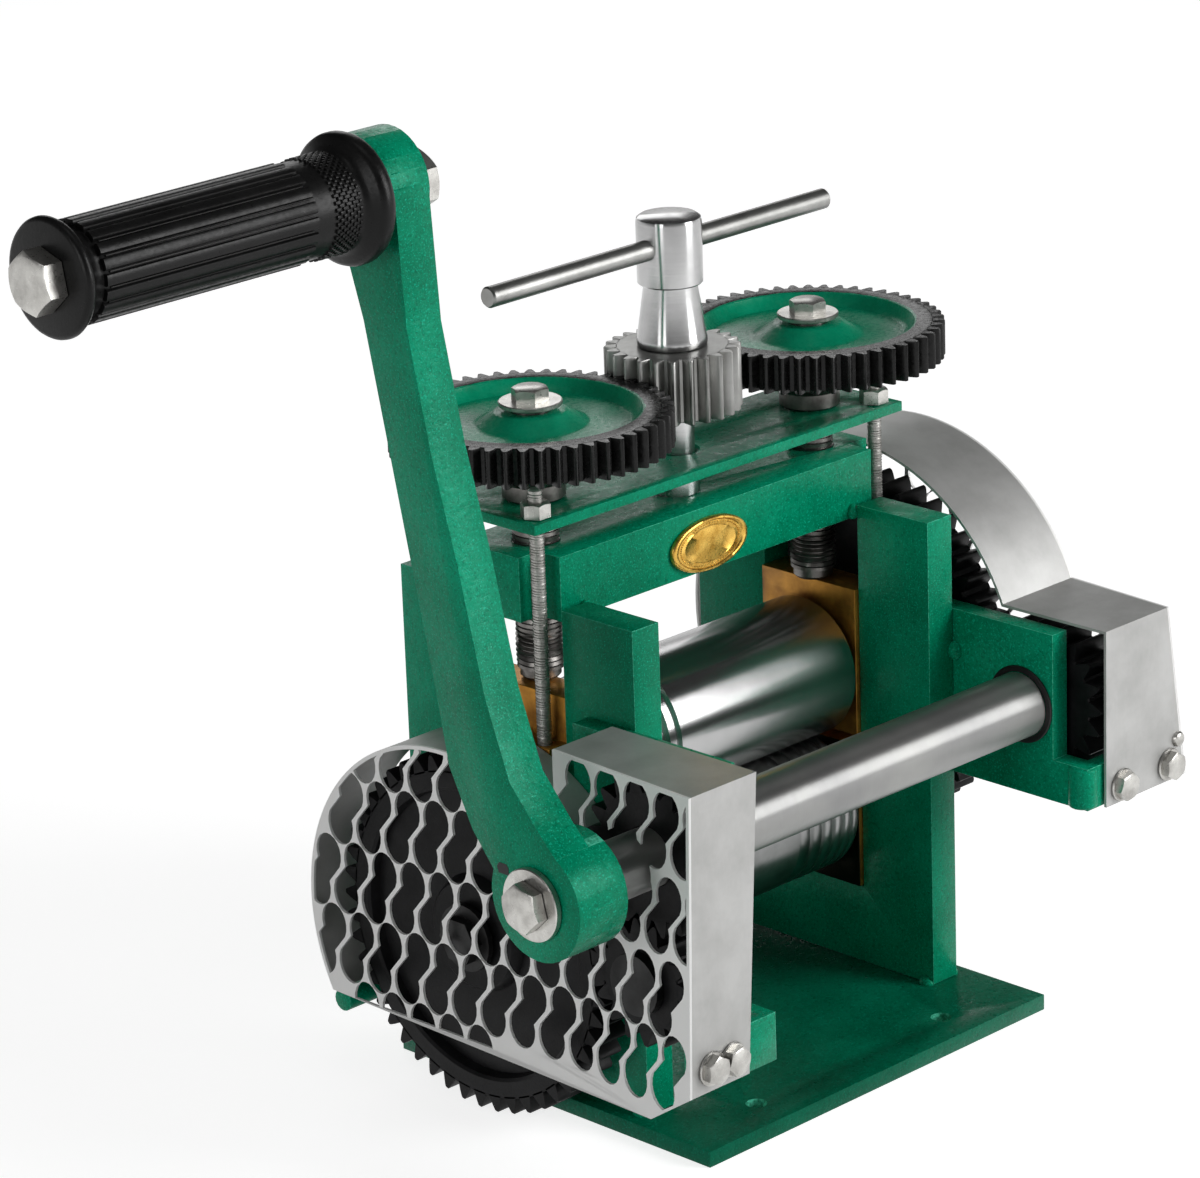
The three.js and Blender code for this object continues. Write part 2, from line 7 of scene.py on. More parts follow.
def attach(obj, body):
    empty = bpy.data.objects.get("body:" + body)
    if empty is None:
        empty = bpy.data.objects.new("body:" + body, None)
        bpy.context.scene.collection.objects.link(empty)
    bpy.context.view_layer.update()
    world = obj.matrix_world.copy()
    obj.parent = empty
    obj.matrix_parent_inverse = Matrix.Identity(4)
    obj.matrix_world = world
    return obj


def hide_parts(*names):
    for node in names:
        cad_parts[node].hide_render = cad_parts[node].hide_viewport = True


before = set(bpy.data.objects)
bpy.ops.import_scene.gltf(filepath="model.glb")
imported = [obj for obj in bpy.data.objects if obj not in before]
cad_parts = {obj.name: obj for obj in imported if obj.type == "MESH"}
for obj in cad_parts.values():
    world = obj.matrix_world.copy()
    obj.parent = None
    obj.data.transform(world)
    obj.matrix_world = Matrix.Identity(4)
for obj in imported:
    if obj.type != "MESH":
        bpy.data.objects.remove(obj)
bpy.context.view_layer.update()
mm = 0.001
print("frame loaded")

view = {
    "place": (-1.03921, -1.02224, 0.63976),
    "right": (0.70447, -0.70892, -0.03406),
    "up": (0.25157, 0.20454, 0.94598),
    "lens": 151.19,
}


def addObject(name, data):
    item = bpy.data.objects.new(name, data)
    bpy.context.scene.collection.objects.link(item)
    return item


def setUpView():
    data = bpy.data.cameras.new("camera")
    data.lens = view["lens"]
    data.sensor_width = 36
    data.clip_end = 20
    right, up = Vector(view["right"]).normalized(), Vector(view["up"]).normalized()
    turn = Matrix((right, up, right.cross(up))).transposed().to_4x4()
    camera = addObject("camera", data)
    camera.matrix_world = Matrix.Translation(view["place"]) @ turn
    bpy.context.scene.camera = camera
    bpy.context.scene.view_settings.view_transform = "Standard"


# Node helpers, used by the world, the materials and the geometry trees. What is fed to an input is linked
# when it is another node's output, and set as a constant when it is not.
def feed(tree, node, values):
    for key, value in values.items():
        if isinstance(value, bpy.types.NodeSocket):
            tree.links.new(value, node.inputs[key])
        else:
            node.inputs[key].default_value = value


def addNode(tree, kind, values=None, **settings):
    node = tree.nodes.new(kind)
    for name, value in settings.items():
        setattr(node, name, value)
    feed(tree, node, values or {})
    return node


def noise(tree, coords, scale, detail, rough):
    values = {"Scale": scale, "Detail": detail, "Roughness": rough, "Vector": coords}
    return addNode(tree, "ShaderNodeTexNoise", values).outputs["Fac"]


def ramp(tree, value, *stops):
    node = addNode(tree, "ShaderNodeValToRGB", {"Fac": value})
    band = node.color_ramp
    while len(band.elements) < len(stops):
        band.elements.new(0.5)
    for element, (place, color) in zip(band.elements, stops):
        element.position = place
        element.color = (*color, 1)
    return node.outputs["Color"]


def spread(tree, value, come, go):
    values = {"Value": value, "From Min": come[0], "From Max": come[1], "To Min": go[0], "To Max": go[1]}
    return addNode(tree, "ShaderNodeMapRange", values).outputs["Result"]


def calc(tree, operation, a, b=0):
    return addNode(tree, "ShaderNodeMath", {0: a, 1: b}, operation=operation).outputs[0]


def blendColor(tree, factor, a, b):
    node = addNode(tree, "ShaderNodeMix", {0: factor}, data_type="RGBA")
    places = [i for i, socket in enumerate(node.inputs) if socket.type == "RGBA"]
    feed(tree, node, {i: (*end, 1) if isinstance(end, tuple) else end for i, end in zip(places, (a, b))})
    return [socket for socket in node.outputs if socket.type == "RGBA"][0]


def bump(tree, surface, height, strength, distance, before=None):
    node = addNode(tree, "ShaderNodeBump", {"Strength": strength, "Distance": distance, "Height": height})
    if before is not None:
        feed(tree, node, {"Normal": before})
    feed(tree, surface, {"Normal": node.outputs[0]})
    return node.outputs[0]


def rays(tree):  # camera rays, and the rays by which metal shows its surroundings
    path = tree.nodes.new("ShaderNodeLightPath")
    mirrored = calc(tree, "MAXIMUM", path.outputs["Is Glossy Ray"], path.outputs["Is Transmission Ray"])
    return path.outputs["Is Camera Ray"], mirrored


studio = {
    "aim": (0, 0, 0.12),
    "lamps": {  # place, size and power
        "keyLight": ((0.9, -1.55, 0.85), (0.9, 1.1), 26),
        "fillLight": ((-1.8, -0.35, 0.75), (0.9, 0.8), 8),
        "rimLight": ((1.0, 1.3, 0.9), (0.8, 0.6), 3),
        "topLight": ((-0.2, -0.2, 1.9), (1.0, 0.5), 1.6),
    },
    # The world's brightness from its lowest point to its highest, for plain light and for reflections.
    "lit": [(0.0, 0.4), (0.5, 0.4), (0.62, 0.36), (0.74, 0.06), (1.0, 0.05)],
    "seen": [(0.0, 1.0), (0.52, 1.0), (0.58, 0.1), (0.75, 0.03), (1.0, 0.03)],
}


def addSoftbox(name, place, size, power):
    data = bpy.data.lights.new(name, "AREA")
    data.shape = "RECTANGLE"
    data.size, data.size_y = size
    data.energy = power
    lamp = addObject(name, data)
    lamp.location = place
    lamp.rotation_euler = (Vector(studio["aim"]) - Vector(place)).to_track_quat("-Z", "Y").to_euler()


def setUpStudio():
    for name, (place, size, power) in studio["lamps"].items():
        addSoftbox(name, place, size, power)
    world = bpy.data.worlds.new("studioWorld")
    bpy.context.scene.world = world
    world.use_nodes = True
    tree = world.node_tree
    tree.nodes.clear()
    coords = tree.nodes.new("ShaderNodeTexCoord").outputs["Generated"]
    split = addNode(tree, "ShaderNodeSeparateXYZ", {0: coords})
    height = spread(tree, split.outputs["Z"], (-1, 1), (0, 1))
    lit, seen = (ramp(tree, height, *[(spot, (level,) * 3) for spot, level in studio[key]])
                 for key in ("lit", "seen"))
    camera, mirrored = rays(tree)
    around = blendColor(tree, mirrored, lit, seen)
    glow = addNode(tree, "ShaderNodeBackground", {"Color": blendColor(tree, camera, around, (1, 1, 1))})
    addNode(tree, "ShaderNodeOutputWorld", {"Surface": glow.outputs[0]})


def makeMaterial(name):
    material = bpy.data.materials.new(name)
    material.use_nodes = True
    tree = material.node_tree
    tree.nodes.clear()
    surface = tree.nodes.new("ShaderNodeBsdfPrincipled")
    addNode(tree, "ShaderNodeOutputMaterial", {"Surface": surface.outputs[0]})
    return material, tree, surface, tree.nodes.new("ShaderNodeTexCoord").outputs["Object"]


enamel = {
    # low darkens the base plate's copy of the enamel as painted shade
    "dark": (0.0, 0.165, 0.08), "mid": (0.0, 0.235, 0.118), "light": (0.002, 0.32, 0.168), "low": 0.5,
    # edge is the colour of the painted highlight on the rounded edges
    "spark": (0.01, 0.5, 0.31), "edge": (0.12, 0.68, 0.46), "pit": (0.0, 0.1, 0.046),
    "peel": 420, "grain": 900, "fleck": 1900, "drift": 30,
    "rough": (0.24, 0.4), "shine": 0.22, "shineTint": (0.2, 1.0, 0.7),
}


def greenEnamel(name, unshadedShare):
    material, tree, surface, coords = makeMaterial(name)
    peel = noise(tree, coords, enamel["peel"], 2, 0.5)
    grain = noise(tree, coords, enamel["grain"], 2, 0.6)
    fleck = noise(tree, coords, enamel["fleck"], 1, 0.5)
    drift = noise(tree, coords, enamel["drift"], 4, 0.6)
    base = ramp(tree, drift, (0.3, enamel["dark"]), (0.5, enamel["mid"]), (0.72, enamel["light"]))
    pits = blendColor(tree, spread(tree, grain, (0.48, 0.3), (0, 0.6)), base, enamel["pit"])
    sparks = blendColor(tree, spread(tree, fleck, (0.58, 0.7), (0, 0.7)), pits, enamel["spark"])
    # painted shade: below a share of 1 the enamel is darkened toward black
    paintedShadeColor = blendColor(tree, 1 - unshadedShare, sparks, (0.0, 0.0, 0.0))
    edge = addNode(tree, "ShaderNodeAttribute", attribute_name="edge").outputs["Fac"]
    # painted highlight: the narrow faces of the rounded edges are lightened to the edge colour, broken up by
    # the grain
    edgeHighlightMask = calc(tree, "MULTIPLY", edge, spread(tree, grain, (0.38, 0.6), (0.15, 0.75)))
    feed(tree, surface, {
        "Base Color": blendColor(tree, edgeHighlightMask, paintedShadeColor, enamel["edge"]),
        "Roughness": spread(tree, peel, (0.3, 0.7), enamel["rough"]),
        "Specular IOR Level": enamel["shine"], "Specular Tint": (*enamel["shineTint"], 1),
    })
    first = bump(tree, surface, peel, 0.35, 0.0004)
    bump(tree, surface, grain, 0.3, 0.0002, first)
    return material


# Two colours, stretch of the tool marks, roughness, depth of the marks, size of the stains, metal share.
metals = {
    "polished_steel": ((0.55, 0.55, 0.55), (0.42, 0.42, 0.42), (1, 1, 70), (0.16, 0.24), 0.05, 45, 0.95),
    "satin_steel": ((0.36, 0.36, 0.35), (0.22, 0.22, 0.21), (40, 40, 40), (0.3, 0.44), 0.12, 60, 0.9),
    "turned_steel": ((0.38, 0.38, 0.37), (0.3, 0.3, 0.3), (60, 1, 1), (0.36, 0.48), 0.04, 30, 0.85),
    "roll_steel": ((0.5, 0.5, 0.5), (0.4, 0.4, 0.4), (60, 1, 1), (0.2, 0.26), 0.03, 22, 0.97),
    # painted shade: a darker copy of the roll steel for the lower roll, which lies in shade
    "shaded_roll_steel": ((0.36, 0.36, 0.36), (0.16, 0.165, 0.16), (60, 1, 1), (0.27, 0.36), 0.04, 35, 0.97),
    # dark steel for the pressure screws, darkened further as painted shade between the plates
    "dark_shaded_screw_steel": ((0.22, 0.21, 0.2), (0.08, 0.075, 0.07), (20, 20, 20), (0.28, 0.42), 0.1, 120, 0.9),
    "stud_steel": ((0.5, 0.49, 0.47), (0.3, 0.29, 0.27), (20, 20, 20), (0.4, 0.55), 0.15, 90, 0.8),
    "zinc": ((0.6, 0.59, 0.56), (0.36, 0.35, 0.33), (20, 20, 20), (0.24, 0.38), 0.06, 160, 0.88),
    "brass": ((0.58, 0.28, 0.045), (0.2, 0.08, 0.012), (3, 3, 60), (0.34, 0.5), 0.3, 70, 0.85),
    "gilt_plate": ((0.8, 0.5, 0.11), (0.5, 0.27, 0.04), (20, 20, 20), (0.22, 0.36), 0.2, 300, 0.9),
    "guard_sheet": ((0.53, 0.53, 0.52), (0.42, 0.42, 0.41), (30, 30, 3), (0.4, 0.54), 0.2, 60, 0.5),
    # painted shade: near-black steel for pieces that stand where shade falls
    "painted_shade_black": ((0.03, 0.03, 0.03), (0.012, 0.012, 0.012), (20, 20, 20), (0.35, 0.5), 0.1, 90, 0.6),
}
turnedAbout = {"polished_steel": "Z", "turned_steel": "X", "roll_steel": "X", "shaded_roll_steel": "X"}


def metalFinish(name):
    color, darker, scale, rough, marks, stain, share = metals[name]
    material, tree, surface, coords = makeMaterial(name + "Finish")
    stretched = addNode(tree, "ShaderNodeMapping", {"Scale": scale, "Vector": coords}).outputs[0]
    brushed = noise(tree, stretched, 60, 4, 0.6)
    tint = ramp(tree, noise(tree, coords, stain, 4, 0.6), (0.3, darker), (0.62, color))
    feed(tree, surface, {
        "Base Color": tint, "Metallic": share, "Roughness": spread(tree, brushed, (0.25, 0.75), rough)})
    bump(tree, surface, brushed, marks, 0.00008)
    if name in turnedAbout:  # lathe marks draw the shine out along the axis
        axis = turnedAbout[name]
        tangent = addNode(tree, "ShaderNodeTangent", direction_type="RADIAL", axis=axis).outputs[0]
        feed(tree, surface, {"Tangent": tangent, "Anisotropic": 0.85, "Anisotropic Rotation": 0.25})
    return material, tree, surface, tint


def guardSheet():  # the pierced face is less metallic than the folded walls, and paler as a painted highlight for the light its cut webs catch
    material, tree, surface, tint = metalFinish("guard_sheet")
    pierced = addNode(tree, "ShaderNodeAttribute", attribute_name="pierced").outputs["Fac"]
    feed(tree, surface, {
        "Base Color": blendColor(tree, pierced, tint, (0.86, 0.86, 0.85)),
        "Metallic": spread(tree, pierced, (0, 1), (0.5, 0.15))})
    return material


rollShade = {"from": 0.0577, "to": 0.058, "low": 0.079, "high": 0.0815, "color": (0.012, 0.009, 0.004)}  # metres; where the brass is darkened as painted shade


def sawnBrass():  # painted shade: the faces towards the rolls are darkened to near black, fully below the lower roll's top and a little above it
    material, tree, surface, tint = metalFinish("brass")
    coords = tree.nodes["Texture Coordinate"].outputs["Object"]
    split = addNode(tree, "ShaderNodeSeparateXYZ", {0: coords})
    across = calc(tree, "ABSOLUTE", split.outputs["X"])
    below = spread(tree, split.outputs["Z"], (rollShade["low"], rollShade["high"]), (1, 0.15))
    shadeMask = calc(tree, "MULTIPLY", spread(tree, across, (rollShade["to"], rollShade["from"]), (0, 1)), below)
    feed(tree, surface, {"Base Color": blendColor(tree, shadeMask, tint, rollShade["color"])})
    return material


blacks = {  # two colours, their places on the cloud, cloud, grit, shine, roughness, depth of the grit
    "blackIron": ((0.0035, 0.0035, 0.0038), (0.011, 0.011, 0.012), (0.3, 0.7), (120, 5, 0.65),
                  (1400, 2, 0.5), 0.13, (0.3, 0.48), (0.2, 0.00015)),
    "blackRubber": ((0.004, 0.004, 0.004), (0.011, 0.011, 0.011), (0.35, 0.75), (60, 4, 0.6),
                    (900, 4, 0.6), 0.17, (0.26, 0.42), (0.25, 0.0002)),
}


def blackFinish(name):
    dark, light, places, cloud, grit, shine, rough, depth = blacks[name]
    material, tree, surface, coords = makeMaterial(name)
    grain = noise(tree, coords, *grit)
    feed(tree, surface, {
        "Base Color": ramp(tree, noise(tree, coords, *cloud), (places[0], dark), (places[1], light)),
        "Roughness": spread(tree, grain, (0.3, 0.7), rough), "Specular IOR Level": shine})
    bump(tree, surface, grain, *depth)
    return material


dishPaint = {"screwX": 0.06, "radius": 0.0342, "wander": 0.0012}  # metres


def dishedGear():  # black teeth and rim, painted dish: the radius counts from the nearer screw
    material, tree, surface, coords = makeMaterial("dishedGear")
    split = addNode(tree, "ShaderNodeSeparateXYZ", {0: coords})
    across = calc(tree, "SUBTRACT", calc(tree, "ABSOLUTE", split.outputs["X"]), dishPaint["screwX"])
    squares = calc(tree, "ADD", calc(tree, "POWER", across, 2), calc(tree, "POWER", split.outputs["Y"], 2))
    wander = calc(tree, "MULTIPLY", noise(tree, coords, 160, 2, 0.5), dishPaint["wander"])
    reach = calc(tree, "ADD", calc(tree, "SQRT", squares), wander)
    painted = calc(tree, "LESS_THAN", reach, dishPaint["radius"])
    cloud = noise(tree, coords, 120, 5, 0.65)
    peel = noise(tree, coords, 700, 2, 0.5)
    dark = ramp(tree, cloud, (0.3, (0.005, 0.005, 0.005)), (0.7, (0.016, 0.016, 0.016)))
    green = ramp(tree, cloud, (0.3, enamel["mid"]), (0.7, enamel["light"]))
    feed(tree, surface, {
        "Base Color": blendColor(tree, painted, dark, green), "Specular IOR Level": enamel["shine"],
        "Roughness": spread(tree, peel, (0.3, 0.7), (0.2, 0.36))})
    bump(tree, surface, peel, 0.25, 0.0003)
    return material


finish = {}


def makeFinishes():
    special = {"guard_sheet": guardSheet, "brass": sawnBrass}
    for name in metals:
        finish[name] = special[name]() if name in special else metalFinish(name)[0]
    # The base plate gets a darker copy of the enamel, as painted shade.
    finish.update(
        green_paint=greenEnamel("greenEnamel", 1), base_paint=greenEnamel("shadedBaseEnamel", enamel["low"]),
        black_gear=blackFinish("blackIron"), black_rubber=blackFinish("blackRubber"),
        dished_gear=dishedGear())


# Puts a mesh in the scene, riding on its body in place of its nodes. The slot is not used.
def place(name, mesh, look, body, nodes, slot=None):
    piece = addObject(name, mesh)
    mesh.materials.clear()
    mesh.materials.append(finish[look])
    for polygon in mesh.polygons:
        polygon.material_index = 0
    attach(piece, body)
    if nodes:
        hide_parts(*nodes)
    return piece


def smoothMesh(mesh, degrees=32):
    for polygon in mesh.polygons:
        polygon.use_smooth = True
    mesh.set_sharp_from_angle(angle=math.radians(degrees))


def meshFrom(work, name, smooth=None):
    bmesh.ops.recalc_face_normals(work, faces=work.faces)
    mesh = bpy.data.meshes.new(name)
    work.to_mesh(mesh)
    work.free()
    if smooth:
        smoothMesh(mesh, smooth)
    return mesh


def bakedMesh(helper, name):  # the evaluated mesh of a helper object, which is then removed
    bpy.context.view_layer.update()
    depsgraph = bpy.context.evaluated_depsgraph_get()
    mesh = bpy.data.meshes.new_from_object(helper.evaluated_get(depsgraph), depsgraph=depsgraph)
    mesh.name = name
    bpy.data.objects.remove(helper)
    return mesh


def toAxis(axis, u, v, w):
    return {"x": (w, u, v), "y": (v, w, u), "z": (u, v, w)}[axis]


# Rings of points, one above the other, skinned into a closed body. A ring of one point is a pole.
def ringBody(work, rings, loop=False):
    pairs = list(zip(rings, rings[1:])) + ([(rings[-1], rings[0])] if loop else [])
    for a, b in pairs:
        for i in range(max(len(a), len(b))):
            j = (i + 1) % max(len(a), len(b))
            if len(a) == 1 and len(b) == 1:
                break
            elif len(a) == 1:
                work.faces.new((a[0], b[i], b[j]))
            elif len(b) == 1:
                work.faces.new((a[i], b[0], a[j]))
            else:
                work.faces.new((a[i], b[i], b[j], a[j]))


# Radius and height pairs in millimetres, turned about an axis. Without a point on the axis it is a ring.
def turnedMesh(name, axis, centre, profile, segments=96):
    work = bmesh.new()
    rings = []
    for radius, height in profile:
        ring = []
        for i in range(segments if radius > 1e-6 else 1):
            a = 2 * math.pi * i / segments
            spot = toAxis(axis, centre[0] + radius * math.cos(a), centre[1] + radius * math.sin(a), height)
            ring.append(work.verts.new(Vector(spot) * mm))
        rings.append(ring)
    ringBody(work, rings, profile[0][0] > 1e-6)
    return meshFrom(work, name, 32)


def turnedPiece(node, axis, centre, profile, look, body, nodes=None, slot=None, segments=96):
    mesh = turnedMesh(node + "_piece", axis, centre, profile, segments)
    return place(node + "_piece", mesh, look, body, [node] if nodes is None else nodes, slot)


# A flat outline in the local XY plane, made thick along Z.
def prismMesh(name, outline, thick, base=0.0):
    work = bmesh.new()
    rings = [[work.verts.new((u * mm, v * mm, w * mm)) for u, v in outline] for w in (base, base + thick)]
    work.faces.new(rings[0][::-1])
    work.faces.new(rings[1])
    ringBody(work, rings)
    return meshFrom(work, name)


# Which faces get the painted edge highlight: how far they turn, and how narrow they are.
edgeHighlightFaces = {"turn": 18, "narrow": 1.1}  # degrees, millimetres


def markEdges(mesh):  # 1 on the narrow faces of a rounded edge, which turn away on both of their long sides; the enamel paints a highlight on them
    work = bmesh.new()
    work.from_mesh(mesh)
    marks = []
    for face in work.faces:
        width = 2 * face.calc_area() / face.calc_perimeter()
        turns = sum(e.calc_face_angle(0) > math.radians(edgeHighlightFaces["turn"]) for e in face.edges)
        marks.append(float(turns > 1 and width < edgeHighlightFaces["narrow"] * mm))
    work.free()
    mesh.attributes.new("edge", "FLOAT", "FACE").data.foreach_set("value", marks)


# A merged copy of a solid with its edges rounded.
def roundedPiece(node, width, look, body, slot=None, segments=2, angle=35):
    work = bmesh.new()
    work.from_mesh(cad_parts[node].data)
    bmesh.ops.remove_doubles(work, verts=work.verts, dist=2e-6)
    bmesh.ops.dissolve_limit(work, angle_limit=math.radians(1.5), verts=work.verts, edges=work.edges)
    mesh = bpy.data.meshes.new(node + "_rounded")
    work.to_mesh(mesh)
    work.free()
    helper = addObject(node + "_helper", mesh)
    bevel = helper.modifiers.new("edges", "BEVEL")
    bevel.width = width * mm
    bevel.segments = segments
    bevel.limit_method = "ANGLE"
    bevel.angle_limit = math.radians(angle)
    bevel.use_clamp_overlap = True
    bevel.miter_outer = "MITER_ARC"
    made = bakedMesh(helper, node + "_piece")
    smoothMesh(made, 40)
    markEdges(made)
    return place(node + "_piece", made, look, body, [node], slot)


# A tree with inputs of each kind, and the material as the last.
def newTree(name, **kinds):
    tree = bpy.data.node_groups.new(name, "GeometryNodeTree")
    for kind, labels in dict(kinds, Material=["Material"]).items():
        for label in labels:
            tree.interface.new_socket(label, in_out="INPUT", socket_type="NodeSocket" + kind)
    tree.interface.new_socket("Geometry", in_out="OUTPUT", socket_type="NodeSocketGeometry")
    return tree, tree.nodes.new("NodeGroupInput").outputs, tree.nodes.new("NodeGroupOutput")


def finishTree(tree, geometry, source, out):
    realize = addNode(tree, "GeometryNodeRealizeInstances", {0: geometry})
    values = {"Geometry": realize.outputs[0], "Material": source["Material"]}
    feed(tree, out, {0: addNode(tree, "GeometryNodeSetMaterial", values).outputs[0]})
    return tree


# Runs a tree on an empty mesh, with its inputs set by identifier, and gives the plain mesh.
def growMesh(name, tree, values):
    helper = addObject(name, bpy.data.meshes.new(name))
    modifier = helper.modifiers.new("grow", "NODES")
    modifier.node_group = tree
    for item in tree.interface.items_tree:
        if item.in_out == "INPUT" and item.name in values:
            modifier[item.identifier] = values[item.name]
    return bakedMesh(helper, name)


# A helical ridge: a spiral with a triangular section, for a screw standing along Z.
def threadTree():
    tree, source, out = newTree("threadRidge", Float=["Radius", "Length", "Turns", "Ridge"], Int=["Steps"])
    spiral = addNode(tree, "GeometryNodeCurveSpiral", {
        "Resolution": source["Steps"], "Rotations": source["Turns"], "Start Radius": source["Radius"],
        "End Radius": source["Radius"], "Height": source["Length"]})
    section = addNode(tree, "GeometryNodeCurvePrimitiveCircle", {"Resolution": 3, "Radius": source["Ridge"]})
    tube = addNode(tree, "GeometryNodeCurveToMesh", {
        "Fill Caps": True, "Curve": spiral.outputs[0], "Profile Curve": section.outputs[0]})
    return finishTree(tree, tube.outputs[0], source, out)


# Copies of one piece set round Z. Its own X points outward and starts one millimetre from the axis.
def ringTree():
    tree, source, out = newTree("pieceRing", Int=["Count"], Object=["Piece"])
    circle = addNode(tree, "GeometryNodeMeshCircle", {"Radius": mm, "Vertices": source["Count"]})
    piece = addNode(tree, "GeometryNodeObjectInfo", {"Object": source["Piece"]})
    spot = tree.nodes.new("GeometryNodeInputPosition").outputs[0]
    align = addNode(tree, "FunctionNodeAlignEulerToVector", {"Vector": spot}, axis="X", pivot_axis="Z")
    instance = addNode(tree, "GeometryNodeInstanceOnPoints", {
        "Points": circle.outputs[0], "Instance": piece.outputs["Geometry"], "Rotation": align.outputs[0]})
    return finishTree(tree, instance.outputs[0], source, out)


# A weld bead: squashed drops that overlap along a straight run on X, with a little scatter.
def beadTree():
    tree, source, out = newTree("weldBead", Int=["Count", "Seed"], Float=["Length", "Size"])
    end = addNode(tree, "ShaderNodeCombineXYZ", {"X": source["Length"]}).outputs[0]
    line = addNode(tree, "GeometryNodeMeshLine", {"Count": source["Count"], "Offset": end}, mode="END_POINTS")
    drop = addNode(tree, "GeometryNodeMeshIcoSphere", {"Subdivisions": 2, "Radius": source["Size"]})
    scatter = addNode(tree, "FunctionNodeRandomValue", {
        "Min": (0.75, 0.85, 0.8), "Max": (1.25, 1.2, 1.2), "Seed": source["Seed"]}, data_type="FLOAT_VECTOR")
    instance = addNode(tree, "GeometryNodeInstanceOnPoints", {
        "Points": line.outputs[0], "Instance": drop.outputs["Mesh"], "Scale": scatter.outputs[0]})
    return finishTree(tree, instance.outputs[0], source, out)


# Cells set on points, trimmed to a field and cut out of a plate.
def perforateTree():
    labels = ["Points", "Cell", "Field", "Plate", "Shaft"]
    tree, source, out = newTree("perforatedSheet", Object=labels)
    shape = {label: addNode(tree, "GeometryNodeObjectInfo", {"Object": source[label]}).outputs["Geometry"]
             for label in labels}
    instance = addNode(tree, "GeometryNodeInstanceOnPoints", {
        "Points": shape["Points"], "Instance": shape["Cell"]})
    cells = addNode(tree, "GeometryNodeRealizeInstances", {0: instance.outputs[0]})
    trimmed = addNode(tree, "GeometryNodeMeshBoolean", operation="INTERSECT", solver="EXACT")
    pierced = addNode(tree, "GeometryNodeMeshBoolean", {"Mesh 1": shape["Plate"]},
                      operation="DIFFERENCE", solver="EXACT")
    for node, cutter in ((trimmed, cells.outputs[0]), (trimmed, shape["Field"]),
                         (pierced, trimmed.outputs[0]), (pierced, shape["Shaft"])):
        feed(tree, node, {"Mesh 2": cutter})
    return finishTree(tree, pierced.outputs[0], source, out)


trees = {"thread": threadTree(), "ring": ringTree(), "bead": beadTree(), "perforated": perforateTree()}


# Turns a piece that stands on Z so that it points along the named axis.
def along(axis):
    return {"z": Matrix.Identity(4), "-z": Matrix.Rotation(math.pi, 4, "X"),
            "x": Matrix.Rotation(math.pi / 2, 4, "Y"), "-x": Matrix.Rotation(-math.pi / 2, 4, "Y"),
            "y": Matrix.Rotation(-math.pi / 2, 4, "X"), "-y": Matrix.Rotation(math.pi / 2, 4, "X")}[axis]


def moved(mesh, spot, turn=None):
    mesh.transform(Matrix.Translation(Vector(spot) * mm) @ (turn or Matrix.Identity(4)))
    return mesh


def joined(node, parts, look, body, nodes=None, slot=None, smooth=35):
    work = bmesh.new()
    for mesh in parts:
        work.from_mesh(mesh)
    whole = bpy.data.meshes.new(node + "_piece")
    work.to_mesh(whole)
    work.free()
    smoothMesh(whole, smooth)
    return place(node + "_piece", whole, look, body, [node] if nodes is None else nodes, slot)


def ringOf(piece, count, phase=0.0):
    helper = addObject("repeated", piece)
    mesh = growMesh("ring", trees["ring"], {"Count": count, "Piece": helper, "Material": finish["zinc"]})
    bpy.data.objects.remove(helper)
    mesh.transform(Matrix.Rotation(phase, 4, "Z"))
    return mesh


# A bar along Z for ringOf, with rounded outer edges.
def softBar(inner, outer, width, length, soft):
    half, corner = width / 2, 0.3 * soft
    side = [(inner, half), (outer - soft, half), (outer - corner, half - corner), (outer, half - soft)]
    outline = [(u - 1, -v) for u, v in side] + [(u - 1, v) for u, v in side[::-1]]
    return prismMesh("bar", outline, length, -length / 2)


tooth = {  # in modules: depth, height, play, widths at foot and crest, belly and root fillet of the flank
    "root": 1.25, "tip": 0.95, "play": 0.15, "foot": 0.46, "crest": 0.41, "belly": 0.09, "fillet": 0.1,
    "chamfer": 0.35, "steps": 8,
}


# One gear tooth from 0 to width on Z, with curved flanks and softened ends.
def toothMesh(teeth, module, width):
    root, tip, play, foot, crest, belly, fillet, chamfer, steps = tooth.values()
    pitchR, half = module * teeth / 2, math.pi * module * 0.25 - play * module
    rootR, tipR = pitchR - root * module, pitchR + tip * module
    side = []
    for i in range(steps + 1):
        t = i / steps
        flank = (half + foot * module) * (1 - t) + (half - crest * module) * t
        flank += belly * module * math.sin(math.pi * t) + fillet * module * (1 - t) ** 6
        side.append((rootR + (tipR - rootR) * t, flank))
    side[0] = (rootR - 0.5, side[0][1])
    side[-1:] = [(side[-1][0] - 0.14, side[-1][1] - 0.1), (tipR, half - crest * module - 0.3)]
    outline = [(r - 1, -w) for r, w in side] + [(r - 1, w) for r, w in side[::-1]]
    inset = [(min(u, tipR - 1 - chamfer), v * (1 - 0.25 * chamfer / half)) for u, v in outline]
    work = bmesh.new()
    rings = [[work.verts.new((u * mm, v * mm, z * mm)) for u, v in ring]
             for ring, z in ((inset, 0), (outline, chamfer), (outline, width - chamfer), (inset, width))]
    work.faces.new(rings[0][::-1])
    work.faces.new(rings[-1])
    ringBody(work, rings)
    return meshFrom(work, "tooth")


# Local X, Y and Z become Y, Z and X.
toPlane = Matrix(((0, 0, 1, 0), (1, 0, 0, 0), (0, 1, 0, 0), (0, 0, 0, 1)))


def rootRadius(module, teeth):  # a little over the teeth's own roots, so that no gap shows
    return module * (teeth / 2 - tooth["root"]) + 0.05


